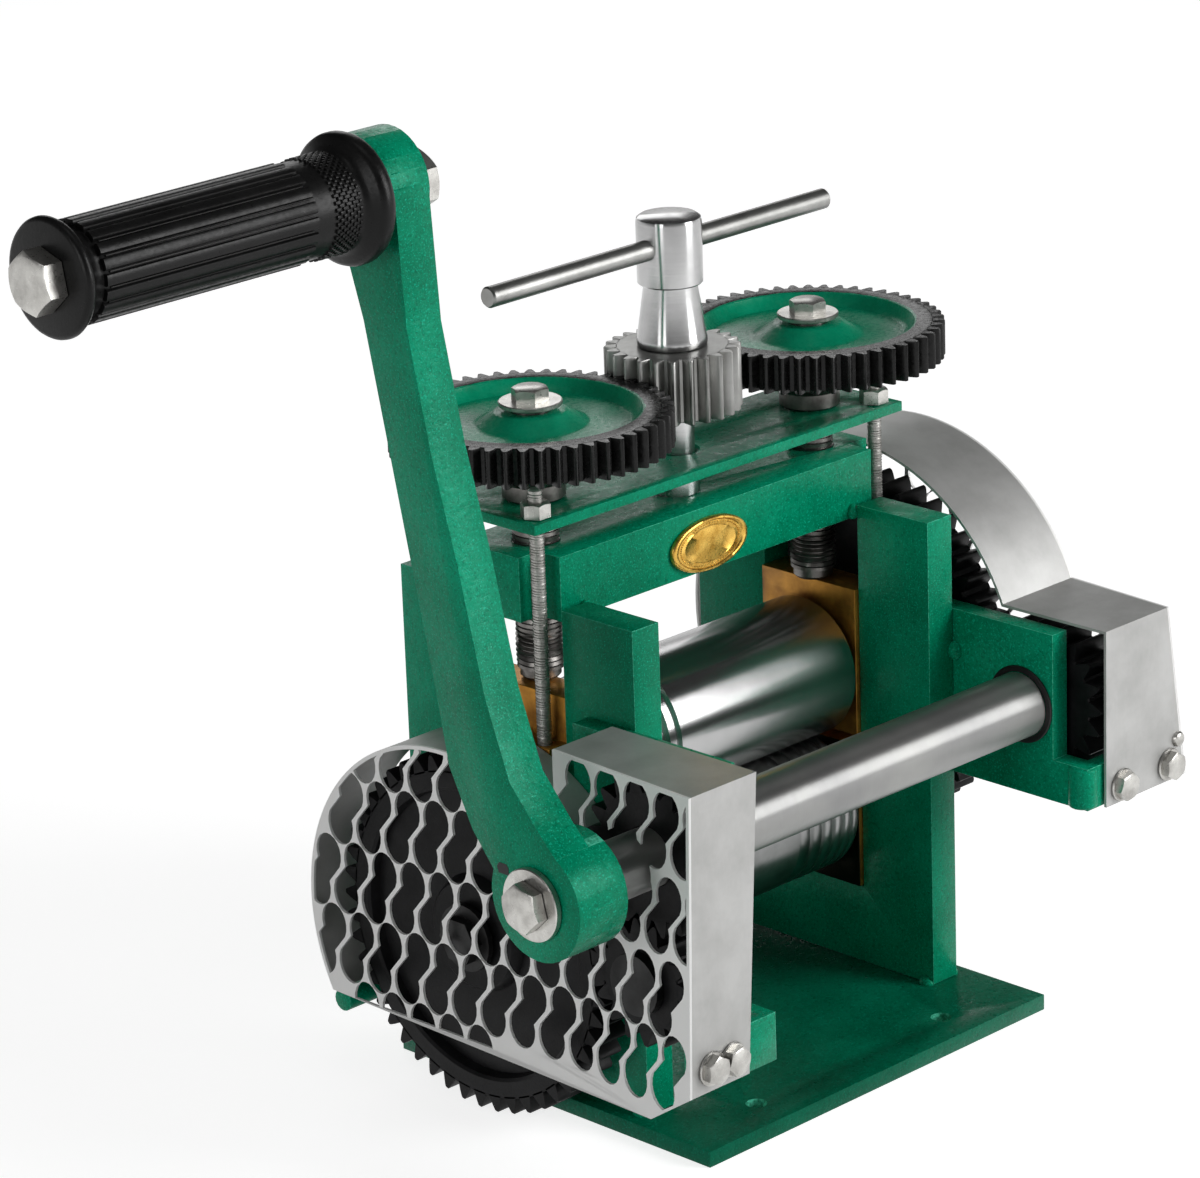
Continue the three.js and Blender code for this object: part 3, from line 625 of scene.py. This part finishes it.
# The toothed ring and the turned body of a gear. The profile's heights count from its base.
def gearMeshes(axis, centre, base, width, teeth, module, phase, profile):
    rim = ringOf(toothMesh(teeth, module, width), teeth, phase)
    body = turnedMesh("gearBody", "z", (0, 0), profile, 128)
    spot, turn = ((base, *centre), toPlane) if axis == "x" else ((*centre, base), None)
    return [moved(mesh, spot, turn) for mesh in (rim, body)]


# The phase that puts a gap of gear B on a tooth of gear A.
def meshedPhase(a, teethA, phaseA, b, teethB):
    d = math.atan2(b[1] - a[1], b[0] - a[0])
    return d + math.pi - (phaseA - d) * teethA / teethB + math.pi / teethB


# A hexagon head standing on its spot, chamfered at 30 degrees to a round top.
def hexMesh(axis, spot, across, height, turn=0.0):
    flat, top, segments = across / 2, 0.93 * across / 2, 48
    work = bmesh.new()
    rings = [[], [], []]
    for i in range(segments):
        a = 2 * math.pi * i / segments
        reach = flat / math.cos(a % (math.pi / 3) - math.pi / 6)
        shoulder = height - (reach - top) * math.tan(math.pi / 6)
        for ring, (r, z) in zip(rings, ((reach, 0), (reach, shoulder), (top, height))):
            ring.append(work.verts.new((r * math.cos(a + turn) * mm, r * math.sin(a + turn) * mm, z * mm)))
    work.faces.new(rings[0][::-1])
    work.faces.new(rings[-1])
    ringBody(work, rings)
    return moved(meshFrom(work, "hexHead"), spot, along(axis))


def threadMesh(centre, radius, bottom, top, pitch, ridge):
    mesh = growMesh("threadRidge", trees["thread"], {
        "Radius": (radius - ridge * 0.5) * mm, "Length": (top - bottom) * mm, "Turns": (top - bottom) / pitch,
        "Steps": 28, "Ridge": ridge * mm, "Material": finish["zinc"]})
    return moved(mesh, (centre[0], centre[1], bottom))


# A bore and an outside with chamfered corners, for turnedMesh.
def ringProfile(inner, outer, thick, chamfer=0.3):
    return [(inner, 0), (outer - chamfer, 0), (outer, chamfer), (outer, thick - chamfer),
            (outer - chamfer, thick), (inner, thick)]


# A washer whose first face is at spot.
def ringMesh(axis, spot, inner, outer, thick, chamfer=0.3):
    ring = turnedMesh("ring", "z", (0, 0), ringProfile(inner, outer, thick, chamfer), 64)
    return moved(ring, spot, along(axis))


setUpView()
setUpStudio()
makeFinishes()
print("view, studio and finishes ready")

frameEdges = {"base_plate": 0.5, "side_plate_left": 0.9, "side_plate_right": 0.9, "top_beam": 0.9,
              "shaft_arm_left": 0.9, "shaft_arm_right": 0.9}
# the base plate takes the darker enamel copy, its painted shade
for node, width in frameEdges.items():
    roundedPiece(node, width, "base_paint" if node == "base_plate" else "green_paint", "frame", "green_paint")
roundedPiece("lift_plate", 0.4, "green_paint", "carriage")
for side in ("left", "right"):
    roundedPiece(f"upper_block_{side}", 0.4, "brass", "carriage")
    roundedPiece(f"lower_block_{side}", 0.4, "brass", "frame")

footBoss = {"spot": (72.6, -98.9), "radius": 4.6, "from": 74.2, "to": 87.4, "soft": 1.1}


def makeFootBoss():  # the round stub where the right arm turns into its foot
    r, low, high, soft = (footBoss[k] for k in ("radius", "from", "to", "soft"))
    angles = [math.pi / 8 * k for k in range(5)]
    arc = [(r - soft + soft * math.sin(a), soft - soft * math.cos(a)) for a in angles]
    rise, fall = [(u, low + v) for u, v in arc], [(u, high - v) for u, v in arc[::-1]]
    profile = [(0, low)] + rise + fall + [(0, high)]
    turnedPiece("foot_boss_right", "z", footBoss["spot"], profile, "green_paint", "frame", [], segments=48)


makeFootBoss()
print("frame done")

rolls = {
    "radius": 22.5, "end": 55, "neck": 12.5, "journal": 8.5, "lower": 57.7, "upper": 103.0,
    "stub": 62, "stubEnd": 94, "wire": [-49.5, -42.5, -36, -30, -24.8],
    "half": [29.5, 35.2, 40.4, 45, 49.2, 52.6], "depth": [2.3, 2, 1.8, 1.5, 1.25, 1],
}


def rollProfile(half):
    r, end, neck = rolls["radius"], rolls["end"], rolls["neck"]
    points = [(0, -end - 15), (neck - 0.8, -end - 15), (neck, -end - 14.2), (neck, -end + 0.8),
              (r - 1, -end + 0.8), (r - 0.3, -end + 1.1), (r, -end + 1.8)]
    for x, g in zip(rolls["wire"], rolls["depth"]):  # V-grooves for wire
        points += [(r, x - g), (r - g, x - 0.12), (r - g, x + 0.12), (r, x + g)]
    if half:
        for x, g in zip(rolls["half"], rolls["depth"]):
            angles = [math.pi * k / 8 for k in range(1, 8)]
            scoop = [(r - 0.92 * g * math.sin(a), x - g * math.cos(a)) for a in angles]
            points += [(r, x - g)] + scoop + [(r, x + g)]
    tail = [(r, end - 1.2), (r - 0.3, end - 0.5), (r - 1, end - 0.2), (neck, end - 0.2), (neck, end + 14.2),
            (neck - 0.8, end + 15), (0, end + 15)]
    return points + tail


for name, z, half, sign, body in (("upper_roll", rolls["upper"], False, 1, "upper_roll_set"),
                                  ("lower_roll", rolls["lower"], True, -1, "lower_roll_set")):
    r, start, end = rolls["journal"], rolls["stub"], rolls["stubEnd"]
    stub = [(u, x * sign) for u, x in ((0, start), (r, start), (r, end - 0.5), (r - 0.5, end), (0, end))]
    parts = [turnedMesh(name, "x", (0, z), rollProfile(half), 128),
             turnedMesh("journal", "x", (0, z), stub, 48)]
    # the lower roll takes the darker roll steel, its painted shade
    joined(name, parts, "shaded_roll_steel" if half else "roll_steel", body, slot="polished_steel", smooth=30)
print("rolls done")

drive = {
    "y": -76.5, "z": 103.0, "collar": (10.5, 12.4, 0.8, 0.25), "shadeRingAt": {"left": -70.25, "right": 69.45},
    "shaft": [(0, -121), (8.6, -121), (9, -120.4), (9, -69.7), (9.9, -69.7), (10.3, -69.3), (10.3, 69.3),
              (9.9, 69.7), (9, 69.7), (9, 95.6), (8.4, 96.2), (0, 96.2)],
}
turnedPiece("drive_shaft", "x", (drive["y"], drive["z"]), drive["shaft"], "turned_steel", "drive",
            slot="polished_steel")
for side, x in drive["shadeRingAt"].items():  # painted shade: thin black rings on the inner faces of the arms, round the shaft, for the dark gap there
    joined(f"shaft_collar_{side}", [ringMesh("x", (x, drive["y"], drive["z"]), *drive["collar"])],
           "painted_shade_black", "frame", [], "black_gear")

gears = {"module": 2.25, "pinion": 20, "idler": 16, "roll": 48, "from": 80, "width": 13,
         "idlerAt": (-71.8212, 62.7712), "dish": 3.6}


def dishedProfile(teeth, bore, width, outward):
    rootR, depth = rootRadius(gears["module"], teeth), gears["dish"]
    points = [(bore, 0), (rootR, 0), (rootR, width), (rootR - 5.2, width), (rootR - 6.2, width - 0.6),
              (rootR - 7, width - depth), (18.5, width - depth), (17.2, width - 0.5), (16.6, width),
              (bore, width)]
    return points if outward else [(r, width - h) for r, h in points][::-1]


def makeDriveGears():
    m, pinion, idler, roll = (gears[k] for k in ("module", "pinion", "idler", "roll"))
    shaft, axle = (drive["y"], drive["z"]), gears["idlerAt"]
    upper, lower = (0, rolls["upper"]), (0, rolls["lower"])
    idlerPhase = math.atan2(lower[1] - axle[1], -axle[0])
    leftPhase = meshedPhase(axle, idler, idlerPhase, shaft, pinion)
    upperPhase = meshedPhase(shaft, pinion, 0, upper, roll)
    lowerPhase = meshedPhase(axle, idler, idlerPhase, lower, roll)
    wide, near = gears["width"] + 2, gears["from"] - 1
    small = (("drive_pinion_right", shaft, pinion, 0, near, 9.3, "drive"),
             ("drive_pinion_left", shaft, pinion, leftPhase, -near - wide, 9.3, "drive"),
             ("idler_gear", axle, idler, idlerPhase, -near - wide, 7.3, "idler"))
    for name, spot, teeth, phase, base, bore, body in small:
        blank = ringProfile(bore, rootRadius(m, teeth), wide, 0.4)
        joined(name, gearMeshes("x", spot, base, wide, teeth, m, phase, blank), "black_gear", body, smooth=28)
    thick = gears["width"]
    large = (("upper_roll_gear", upper, upperPhase, gears["from"], True, "upper_gear_set"),
             ("lower_roll_gear", lower, lowerPhase, -gears["from"] - thick, False, "lower_roll_set"))
    for name, spot, phase, base, outward, body in large:
        parts = gearMeshes("x", spot, base, thick, roll, m, phase, dishedProfile(roll, 8.8, thick, outward))
        joined(name, parts, "black_gear", body, smooth=28)


makeDriveGears()

crank = {
    "edge": 1.6, "face": -139.3, "washer": (4.3, 10.8, 2.2), "headAt": -141.8, "head": (13, 4.2, 0.25),
    "notchShadeAt": (-139.1, -63.8, 110.2), "notchShadeThick": 4,
    "key": [(-2.3, -1.6), (1.7, -1.6), (2.3, 0.4), (1.4, 1.6), (-1.4, 1.6), (-2.3, 0.6)],
}


def makeCrank():
    y, z = drive["y"], drive["z"]
    roundedPiece("crank_arm", crank["edge"], "green_paint", "drive", segments=3, angle=30)
    joined("crank_washer", [ringMesh("-x", (crank["face"], y, z), *crank["washer"])], "zinc", "drive")
    joined("crank_bolt", [hexMesh("-x", (crank["headAt"], y, z), *crank["head"])], "zinc", "drive")
    # painted shade: a black key-shaped piece at the hub stands for the shade in the keyway notch
    key = moved(prismMesh("key", crank["key"], crank["notchShadeThick"]), crank["notchShadeAt"], toPlane)
    joined("crank_key", [key], "painted_shade_black", "drive", [], "black_gear")


makeCrank()
print("drive done")

grip = {
    "y": -20.5, "z": 298.7, "inner": -143.9, "length": 107.5, "bore": 5.4,
    "ribs": 20, "ribAt": -62, "knurlRows": 8, "knurlDots": 44, "knurlAt": -18, "knurlStep": 1.2,
    "rib": (12.6, 14.35, 3.3, 74, 0.7), "seam": (12.6, 13.95, 0.5, 71, 0.2),
    "dot": (13.4, 14.5, 1.15, 0.75, 0.35),
    "boltR": 5, "boltEnd": -116, "head": (15.5, 6.6, 0.2), "nutAt": -125.7, "nut": (15.5, 7.7),
    "cap": [(15.1, 0), (16, 0.3), (16.5, 1.1), (16.6, 2), (16.1, 2.9), (14.8, 3.6), (13.4, 5), (12.8, 7),
            (12.9, 8.6), (13.4, 9.4)],
    "flange": [(13.5, 26), (13.6, 24), (13.9, 16.5), (14.1, 8.5), (14.6, 7.4), (15.8, 6.4), (17.4, 5.8),
               (18.4, 5), (18.8, 3.8), (18.8, 2.2), (18.3, 0.8), (17.3, 0)],
}


def makeGrip():
    y, z, root = grip["y"], grip["z"], grip["inner"]
    tip = root - grip["length"]
    profile = [(grip["bore"], tip)] + [(r, tip + h) for r, h in grip["cap"]]
    profile += [(r, root - h) for r, h in grip["flange"]] + [(grip["bore"], root)]
    parts = [turnedMesh("gripBody", "x", (y, z), profile)]
    axis = Matrix.Translation(Vector((0, y, z)) * mm) @ along("x")

    def addRing(piece, count, x, phase=0.0):
        ring = ringOf(piece, count, phase)
        ring.transform(Matrix.Translation((x * mm, 0, 0)) @ axis)
        parts.append(ring)

    middle, ribs, dots = root + grip["ribAt"], grip["ribs"], grip["knurlDots"]
    addRing(softBar(*grip["rib"]), ribs, middle)
    addRing(softBar(*grip["seam"]), ribs, middle, math.pi / ribs)
    for row in range(grip["knurlRows"]):
        x = root + grip["knurlAt"] + grip["knurlStep"] * row
        addRing(softBar(*grip["dot"]), dots, x, (row % 2) * math.pi / dots)
    joined("grip", parts, "black_rubber", "hand_grip", smooth=40)
    r, end = grip["boltR"], grip["boltEnd"]
    shank = turnedMesh("shank", "x", (y, z), [
        (0, root + 0.2), (r, root + 0.2), (r, end - 0.6), (r - 0.6, end), (0, end)], 32)
    joined("grip_bolt", [hexMesh("-x", (tip - 0.3, y, z), *grip["head"]), shank], "zinc", "drive")
    joined("grip_nut", [hexMesh("x", (grip["nutAt"], y, z), *grip["nut"])], "zinc", "drive")


makeGrip()
print("grip done")

guard = {
    "sheet": 0.9, "inner": 77.4, "front": -104.2, "left": 102, "right": 111, "leftArc": 61.5, "rightArc": 69,
    "seam": 0.02, "rear": -47, "leftTop": 131, "rightTop": 130.5, "leftLow": 28, "lip": 40, "rightLow": 73.5,
    "leftLowRear": -86, "shaftHole": 11.5, "aside": 400,
}
cell = {
    "pitch": 12.4, "row": 22.6, "lean": 2.7, "rise": 5.8, "wide": 5.5, "tall": 6.55, "shift": 0.8, "rim": 1.2,
    "points": 14, "from": -22, "sweep": 234, "inside": 0.34,
    "raised": {"behind": -46, "plain": -33, "above": 96, "near": 80, "by": 5.5, "byLess": 2.6},
}
bends = {"left": {"from": 54, "top": 131, "low": 40, "inner": (0, 6), "outer": (3, 6)},
         "right": {"from": 60, "top": 130.5, "low": 73.5, "inner": (0, 0), "outer": (-3.5, 5)}}


def arcPoints(z, r, start, end, count=72):
    angles = [start + (end - start) * i / count for i in range(count + 1)]
    return [(r * math.cos(a), z + r * math.sin(a)) for a in angles]


# The strips of a guard's wall, each a run of points in the plane of the gears.
def guardPaths(side, inset, rim=0.0):
    left = side == "left"
    r, z = (guard["leftArc"], rolls["lower"]) if left else (guard["rightArc"], rolls["upper"])
    r, front = r - inset, guard["front"] + inset
    top = guard["leftTop" if left else "rightTop"] - inset
    start = math.asin((guard["leftLow" if left else "rightLow"] - z) / r)
    if left:
        rear = guard["rear"] - rim
        box = [(rear, top), (front, top), (front, guard["lip"])]
        return [arcPoints(z, r, start, math.acos(rear / r)), box]
    arc = arcPoints(z, r, start, math.pi - math.asin((top - z) / r))
    return [arc + [(front, top), (front, guard["rightLow"])]]


def flatOutline(side, inset=0.0):
    paths = guardPaths(side, inset, inset)
    if side == "left":
        return [(guard["leftLowRear"], guard["leftLow"] + inset)] + paths[0] + paths[1]
    return paths[0]


def cellOutline(centre):
    wide, tall, lean, rise, count = (cell[k] for k in ("wide", "tall", "lean", "rise", "points"))
    half = [math.radians(cell["from"] + cell["sweep"] * i / (count - 1)) for i in range(count)]
    lobe = [(wide * math.cos(a) - lean, tall * math.sin(a) + rise) for a in half]
    return [(centre[0] + u, centre[1] + v) for u, v in lobe + [(-u, -v) for u, v in lobe]]


def insideOutline(point, outline):
    inside = False
    for (ya, za), (yb, zb) in zip(outline, outline[1:] + outline[:1]):
        if (za > point[1]) != (zb > point[1]) and point[0] < ya + (point[1] - za) * (yb - ya) / (zb - za):
            inside = not inside
    return inside


def cellCentres(side, row0, column0):
    field, raised, spots = flatOutline(side, cell["rim"]), cell["raised"], []
    for row in range(-4, 5):
        for column in range(-12, 12):
            u, v = column0 + column * cell["pitch"] + row * cell["shift"], row0 + row * cell["row"]
            if side == "left" and v > raised["above"] and raised["behind"] < u < raised["plain"]:
                continue
            if side == "left" and u < raised["behind"] and v > raised["near"]:
                v += raised["by"] if v > raised["above"] else raised["byLess"]
            edge = cellOutline((u, v))
            if sum(insideOutline(q, field) for q in edge) > cell["inside"] * len(edge):
                spots.append((u, v))
    return spots


def pointMesh(spots):
    mesh = bpy.data.meshes.new("points")
    mesh.from_pydata([(u * mm, v * mm, 0) for u, v in spots], [], [])
    return mesh


def clamp(value):
    return min(max(value, 0), 1)


def bendMesh(mesh, side):  # leans the front of a guard, as in the solids
    bend, sign = bends[side], -1 if side == "left" else 1
    for vertex in mesh.vertices:
        x, y, z = (c / mm for c in vertex.co)
        forward = clamp((-y - bend["from"]) / (-guard["front"] - bend["from"]))
        down = clamp((bend["top"] - z) / (bend["top"] - bend["low"]))
        out = clamp((abs(x) - guard["inner"]) / (guard[side] - guard["inner"]))
        inner, outer = (pair[0] + (pair[1] - pair[0]) * down for pair in (bend["inner"], bend["outer"]))
        vertex.co.x = (x + sign * forward * (inner * (1 - out) + outer * out)) * mm


def makeGuard(side, row0, column0):
    left, far = side == "left", guard[side]
    hole = arcPoints(drive["z"] if left else guard["aside"], guard["shaftHole"], 0, 2 * math.pi, 48)
    shaft = [(drive["y"] + u, v) for u, v in hole[:-1]]
    solids = {  # outline, thickness and base: the cutters reach past the sheet on both sides
        "Cell": (cellOutline((0, 0)), 6, -2), "Field": (flatOutline(side, cell["rim"]), 12, -5),
        "Plate": (flatOutline(side), guard["sheet"]), "Shaft": (shaft, 8, -3)}
    helpers = {label: addObject(label, prismMesh(label, *solid)) for label, solid in solids.items()}
    helpers["Points"] = addObject("Points", pointMesh(cellCentres(side, row0, column0)))
    sheet = growMesh("sheet", trees["perforated"], dict(helpers, Material=finish["guard_sheet"]))
    for helper in helpers.values():
        bpy.data.objects.remove(helper)
    pierced = len(sheet.vertices)
    parts = [moved(sheet, (-far if left else far - guard["sheet"], 0, 0), toPlane)]
    width = far - guard["sheet"] - guard["seam"] - guard["inner"]
    base = -guard["inner"] - width if left else guard["inner"]
    for outer, inner in zip(guardPaths(side, 0), guardPaths(side, guard["sheet"])):
        strip = prismMesh("strip", outer + inner[::-1], width, base)
        strip.transform(toPlane)
        parts.append(strip)
    for mesh in parts:
        bendMesh(mesh, side)
    nodes = [f"guard_{side}", f"guard_{side}_grille"] + (["guard_left_front"] if left else [])
    piece = joined(f"guard_{side}", parts, "guard_sheet", "frame", nodes, smooth=28)
    flag = piece.data.attributes.new("pierced", "FLOAT", "POINT")  # 1 on the pierced face
    flag.data.foreach_set("value", [float(i < pierced) for i in range(len(piece.data.vertices))])


makeGuard("left", row0=67.6, column0=18)
makeGuard("right", row0=90, column0=6)

guardBolts = {
    "left": (-90.5, -99, 47.0), "right": (84.9, 107.5, 79.0), "face": -104.25, "washer": (0.01, 5.2, 0.9),
    "headAt": -105, "head": (8, 3.0), "rivetAt": (86.2, 111.8),
    "rivet": [(0, -104.2), (2.5, -104.2), (2.45, -104.8), (2.1, -105.4), (1.3, -105.8), (0, -105.95)],
}


def makeGuardBolts():
    for side in ("left", "right"):
        innerX, outerX, z = guardBolts[side]
        for which, x, turn in (("inner", innerX, 0.2), ("outer", outerX, 0.5)):
            parts = [hexMesh("-y", (x, guardBolts["headAt"], z), *guardBolts["head"], turn),
                     ringMesh("-y", (x, guardBolts["face"], z), *guardBolts["washer"])]
            joined(f"guard_bolt_{side}_{which}", parts, "zinc", "frame")
    spot, profile = guardBolts["rivetAt"], guardBolts["rivet"]
    turnedPiece("guard_rivet", "y", spot, profile, "zinc", "frame", [], segments=32)


makeGuardBolts()
print("guards done")

setting = {
    "screwX": 60, "gearTop": 214, "gearThick": 11.4, "module": 1.6, "teeth": 51, "pinionTeeth": 24,
    "bore": 6.3, "pinionFrom": 200.4, "pinionTo": 220.3, "headAt": 217, "head": (10, 4),
    "washerAt": 215.5, "washer": (0.01, 9.5, 1.5), "barZ": 251.3,
    "stud": (73.6, -14.6), "nutAt": 187.5, "nut": (8, 4.5),
    "screwThread": (7, 134.5, 183.2, 1.5, 0.62), "studThread": (2.2, 92.5, 195, 0.8, 0.2),
    "spindle": [(0, 160), (5.7, 160), (6, 160.3), (6, 174.3), (7.2, 174.3), (7.2, 183.5), (6.8, 183.9),
                (6, 183.9), (6, 220.6), (10.5, 220.6), (10.7, 221), (10.7, 222.6), (10.5, 223.2),
                (8.3, 238.6), (8.3, 239.5), (9.5, 239.5), (10, 240), (10, 258.8), (9.7, 259.8), (8.6, 260.5),
                (0, 260.6)],
    "bar": [(0, -75.5), (2.7, -75.5), (3.2, -74.9), (3.2, 67.9), (2.7, 68.5), (0, 68.5)],
    "core": [(0, 131.3), (5.4, 131.3), (6.2, 132.2), (6.25, 183.9), (6, 184), (6, 215.2), (0, 215.2)],
    "collar": [(5, 187.5), (9, 187.5), (9.5, 188), (9.5, 192.4), (9, 192.9), (7.4, 193.2), (7.4, 202.3),
               (5, 202.3)],
    "studCore": [(0, 86), (1.4, 86), (2.05, 92), (2.05, 195.5), (1.6, 196), (0, 196)],
    # The painted dish, as radius and depth under the gear's top.
    "dish": [(33.6, 0), (33, 0.3), (31.2, 3), (29.6, 3.9), (17.6, 4), (16.4, 3.6), (11.2, 0.4), (10.4, 0)],
}


def makeSpindle():
    m, teeth, bore = setting["module"], setting["pinionTeeth"], setting["bore"]
    bottom, wide = setting["pinionFrom"], setting["pinionTo"] - setting["pinionFrom"]
    turnedPiece("spindle", "z", (0, 0), setting["spindle"], "polished_steel", "adjuster")
    turnedPiece("t_bar", "x", (0, setting["barZ"]), setting["bar"], "satin_steel", "adjuster",
                slot="polished_steel", segments=48)
    blank = ringProfile(bore, rootRadius(m, teeth), wide)
    parts = gearMeshes("z", (0, 0), bottom, wide, teeth, m, 0, blank)
    joined("spindle_pinion", parts, "satin_steel", "adjuster", slot="polished_steel", smooth=28)


def makeLift(side, sign):
    m, teeth, thick, bore = (setting[k] for k in ("module", "teeth", "gearThick", "bore"))
    x, body = sign * setting["screwX"], f"screw_{side}"
    screw = [turnedMesh(key, "z", (x, 0), setting[key], 64) for key in ("core", "collar")]
    screw.append(threadMesh((x, 0), *setting["screwThread"]))
    # the pressure screws take the dark steel with painted shade
    joined(f"pressure_screw_{side}", screw, "dark_shaded_screw_steel", body, slot="polished_steel")
    blank = ringProfile(bore, rootRadius(m, teeth), thick)
    blank[-1:] = [(r, thick - h) for r, h in setting["dish"]] + [(bore, thick)]
    phase = meshedPhase((0, 0), setting["pinionTeeth"], 0, (x, 0), teeth)
    parts = gearMeshes("z", (x, 0), setting["gearTop"] - thick, thick, teeth, m, phase, blank)
    joined(f"screw_gear_{side}", parts, "dished_gear", body, slot="black_gear", smooth=28)
    parts = [ringMesh("z", (x, 0, setting["washerAt"]), *setting["washer"]),
             hexMesh("z", (x, 0, setting["headAt"]), *setting["head"])]
    joined(f"screw_gear_bolt_{side}", parts, "zinc", body)
    spot = (sign * setting["stud"][0], setting["stud"][1])
    parts = [turnedMesh("studCore", "z", spot, setting["studCore"], 32),
             threadMesh(spot, *setting["studThread"])]
    joined(f"lift_stud_{side}", parts, "stud_steel", "carriage", slot="zinc")
    joined(f"stud_nut_{side}", [hexMesh("z", (*spot, setting["nutAt"]), *setting["nut"])], "zinc", "carriage")


makeSpindle()
makeLift("left", -1)
makeLift("right", 1)
print("gap setting done")

# These solids inside the guards keep their shapes and are made black, as painted shade of the dark insides.
for node in ("upper_roll_bolt", "lower_roll_bolt", "roll_thrust_washer", "idler_axle"):
    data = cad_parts[node].data
    data.materials.clear()
    data.materials.append(finish["painted_shade_black"])

badge = {
    "x": -5.9, "z": 162.6, "back": -18.3, "stretch": 1.95,
    "beads": 64, "beadR": 0.3, "beadRing": 6.5, "level": 0.95,
    "profile": [(0, 0), (8.4, 0), (8.4, 0.8), (8.25, 1.2), (7.9, 1.5), (7.5, 1.5), (7.2, 1.2), (7.05, 0.95),
                (5.9, 0.95), (5.75, 1.1), (5.55, 1.1), (5.4, 0.95), (3, 1.12), (0, 1.2)],
}


# An oval plate with a raised rim, a ring of beads and a bare, softly domed field.
def makeBadge():
    stretch = Matrix.Diagonal((badge["stretch"], 1, 1, 1))
    field = turnedMesh("badge", "z", (0, 0), badge["profile"])
    field.transform(stretch @ along("-y"))
    bead = bmesh.new()
    bmesh.ops.create_icosphere(bead, subdivisions=1, radius=badge["beadR"] * mm)
    bmesh.ops.translate(bead, verts=bead.verts, vec=Vector((badge["beadRing"] - 1, 0, badge["level"])) * mm)
    beads = ringOf(meshFrom(bead, "bead", 60), badge["beads"])
    step = 2 * math.pi / badge["beads"]
    for vertex in beads.vertices:  # the ring opens into an oval, and each bead stays round
        a = round(math.atan2(vertex.co.y, vertex.co.x) / step) * step
        vertex.co.x += badge["beadRing"] * (badge["stretch"] - 1) * math.cos(a) * mm
    beads.transform(along("-y"))
    spot = (badge["x"], badge["back"], badge["z"])
    joined("badge_plate", [moved(field, spot), moved(beads, spot)], "gilt_plate", "frame", smooth=40)


makeBadge()

welds = {
    "size": 1.7, "step": 1.5, "wide": 2.3,
    "runs": {  # start and end of each bead, for the right side
        "foot_inner": ((58.8, -47, 5.2), (58.8, 47, 5.2)), "foot_outer": ((70.2, -47, 5.2), (70.2, 47, 5.2)),
        "beam": ((58.8, -18.4, 155), (58.8, -18.4, 172)), "arm": ((70.4, -49.3, 80), (70.4, -49.3, 112)),
        "arm_top": ((70.3, -49.8, 113.5), (70.3, -49.8, 124)),
    },
}


def weld(name, start, end, size):
    start, end = Vector(start) * mm, Vector(end) * mm
    run = end - start
    count = max(3, int(run.length / (welds["step"] * mm)))
    mesh = growMesh(name, trees["bead"], {
        "Count": count, "Length": run.length / (count - 1), "Size": size * mm, "Seed": len(name),
        "Material": finish["green_paint"]})
    mesh.transform(Matrix.Translation(start) @ run.to_track_quat("X", "Z").to_matrix().to_4x4())
    smoothMesh(mesh, 60)
    place(name, mesh, "green_paint", "frame", [])


for label, sign in (("left", -1), ("right", 1)):
    for run, ends in welds["runs"].items():
        a, b = ((sign * x, y, z) for x, y, z in ends)
        weld(f"weld_{run}_{label}", a, b, welds["wide"] if run == "arm_top" else welds["size"])
print("badge and welds done")

floor = {"half": 3, "drop": 0.2, "color": 0.6, "glow": 0.78}


def makeFloor():  # white to the camera, with the object's shadow, and plain to the lamps
    s, z = floor["half"], -floor["drop"] * mm
    mesh = bpy.data.meshes.new("floor")
    mesh.from_pydata([(-s, -s, z), (s, -s, z), (s, s, z), (-s, s, z)], [], [(0, 1, 2, 3)])
    material, tree, surface = makeMaterial("floorWhite")[:3]
    seen = calc(tree, "MAXIMUM", *rays(tree))
    feed(tree, surface, {
        "Base Color": (floor["color"],) * 3 + (1,), "Roughness": 0.9, "Specular IOR Level": 0,
        "Emission Color": (1, 1, 1, 1), "Emission Strength": calc(tree, "MULTIPLY", seen, floor["glow"])})
    mesh.materials.append(material)
    addObject("floor", mesh)


makeFloor()
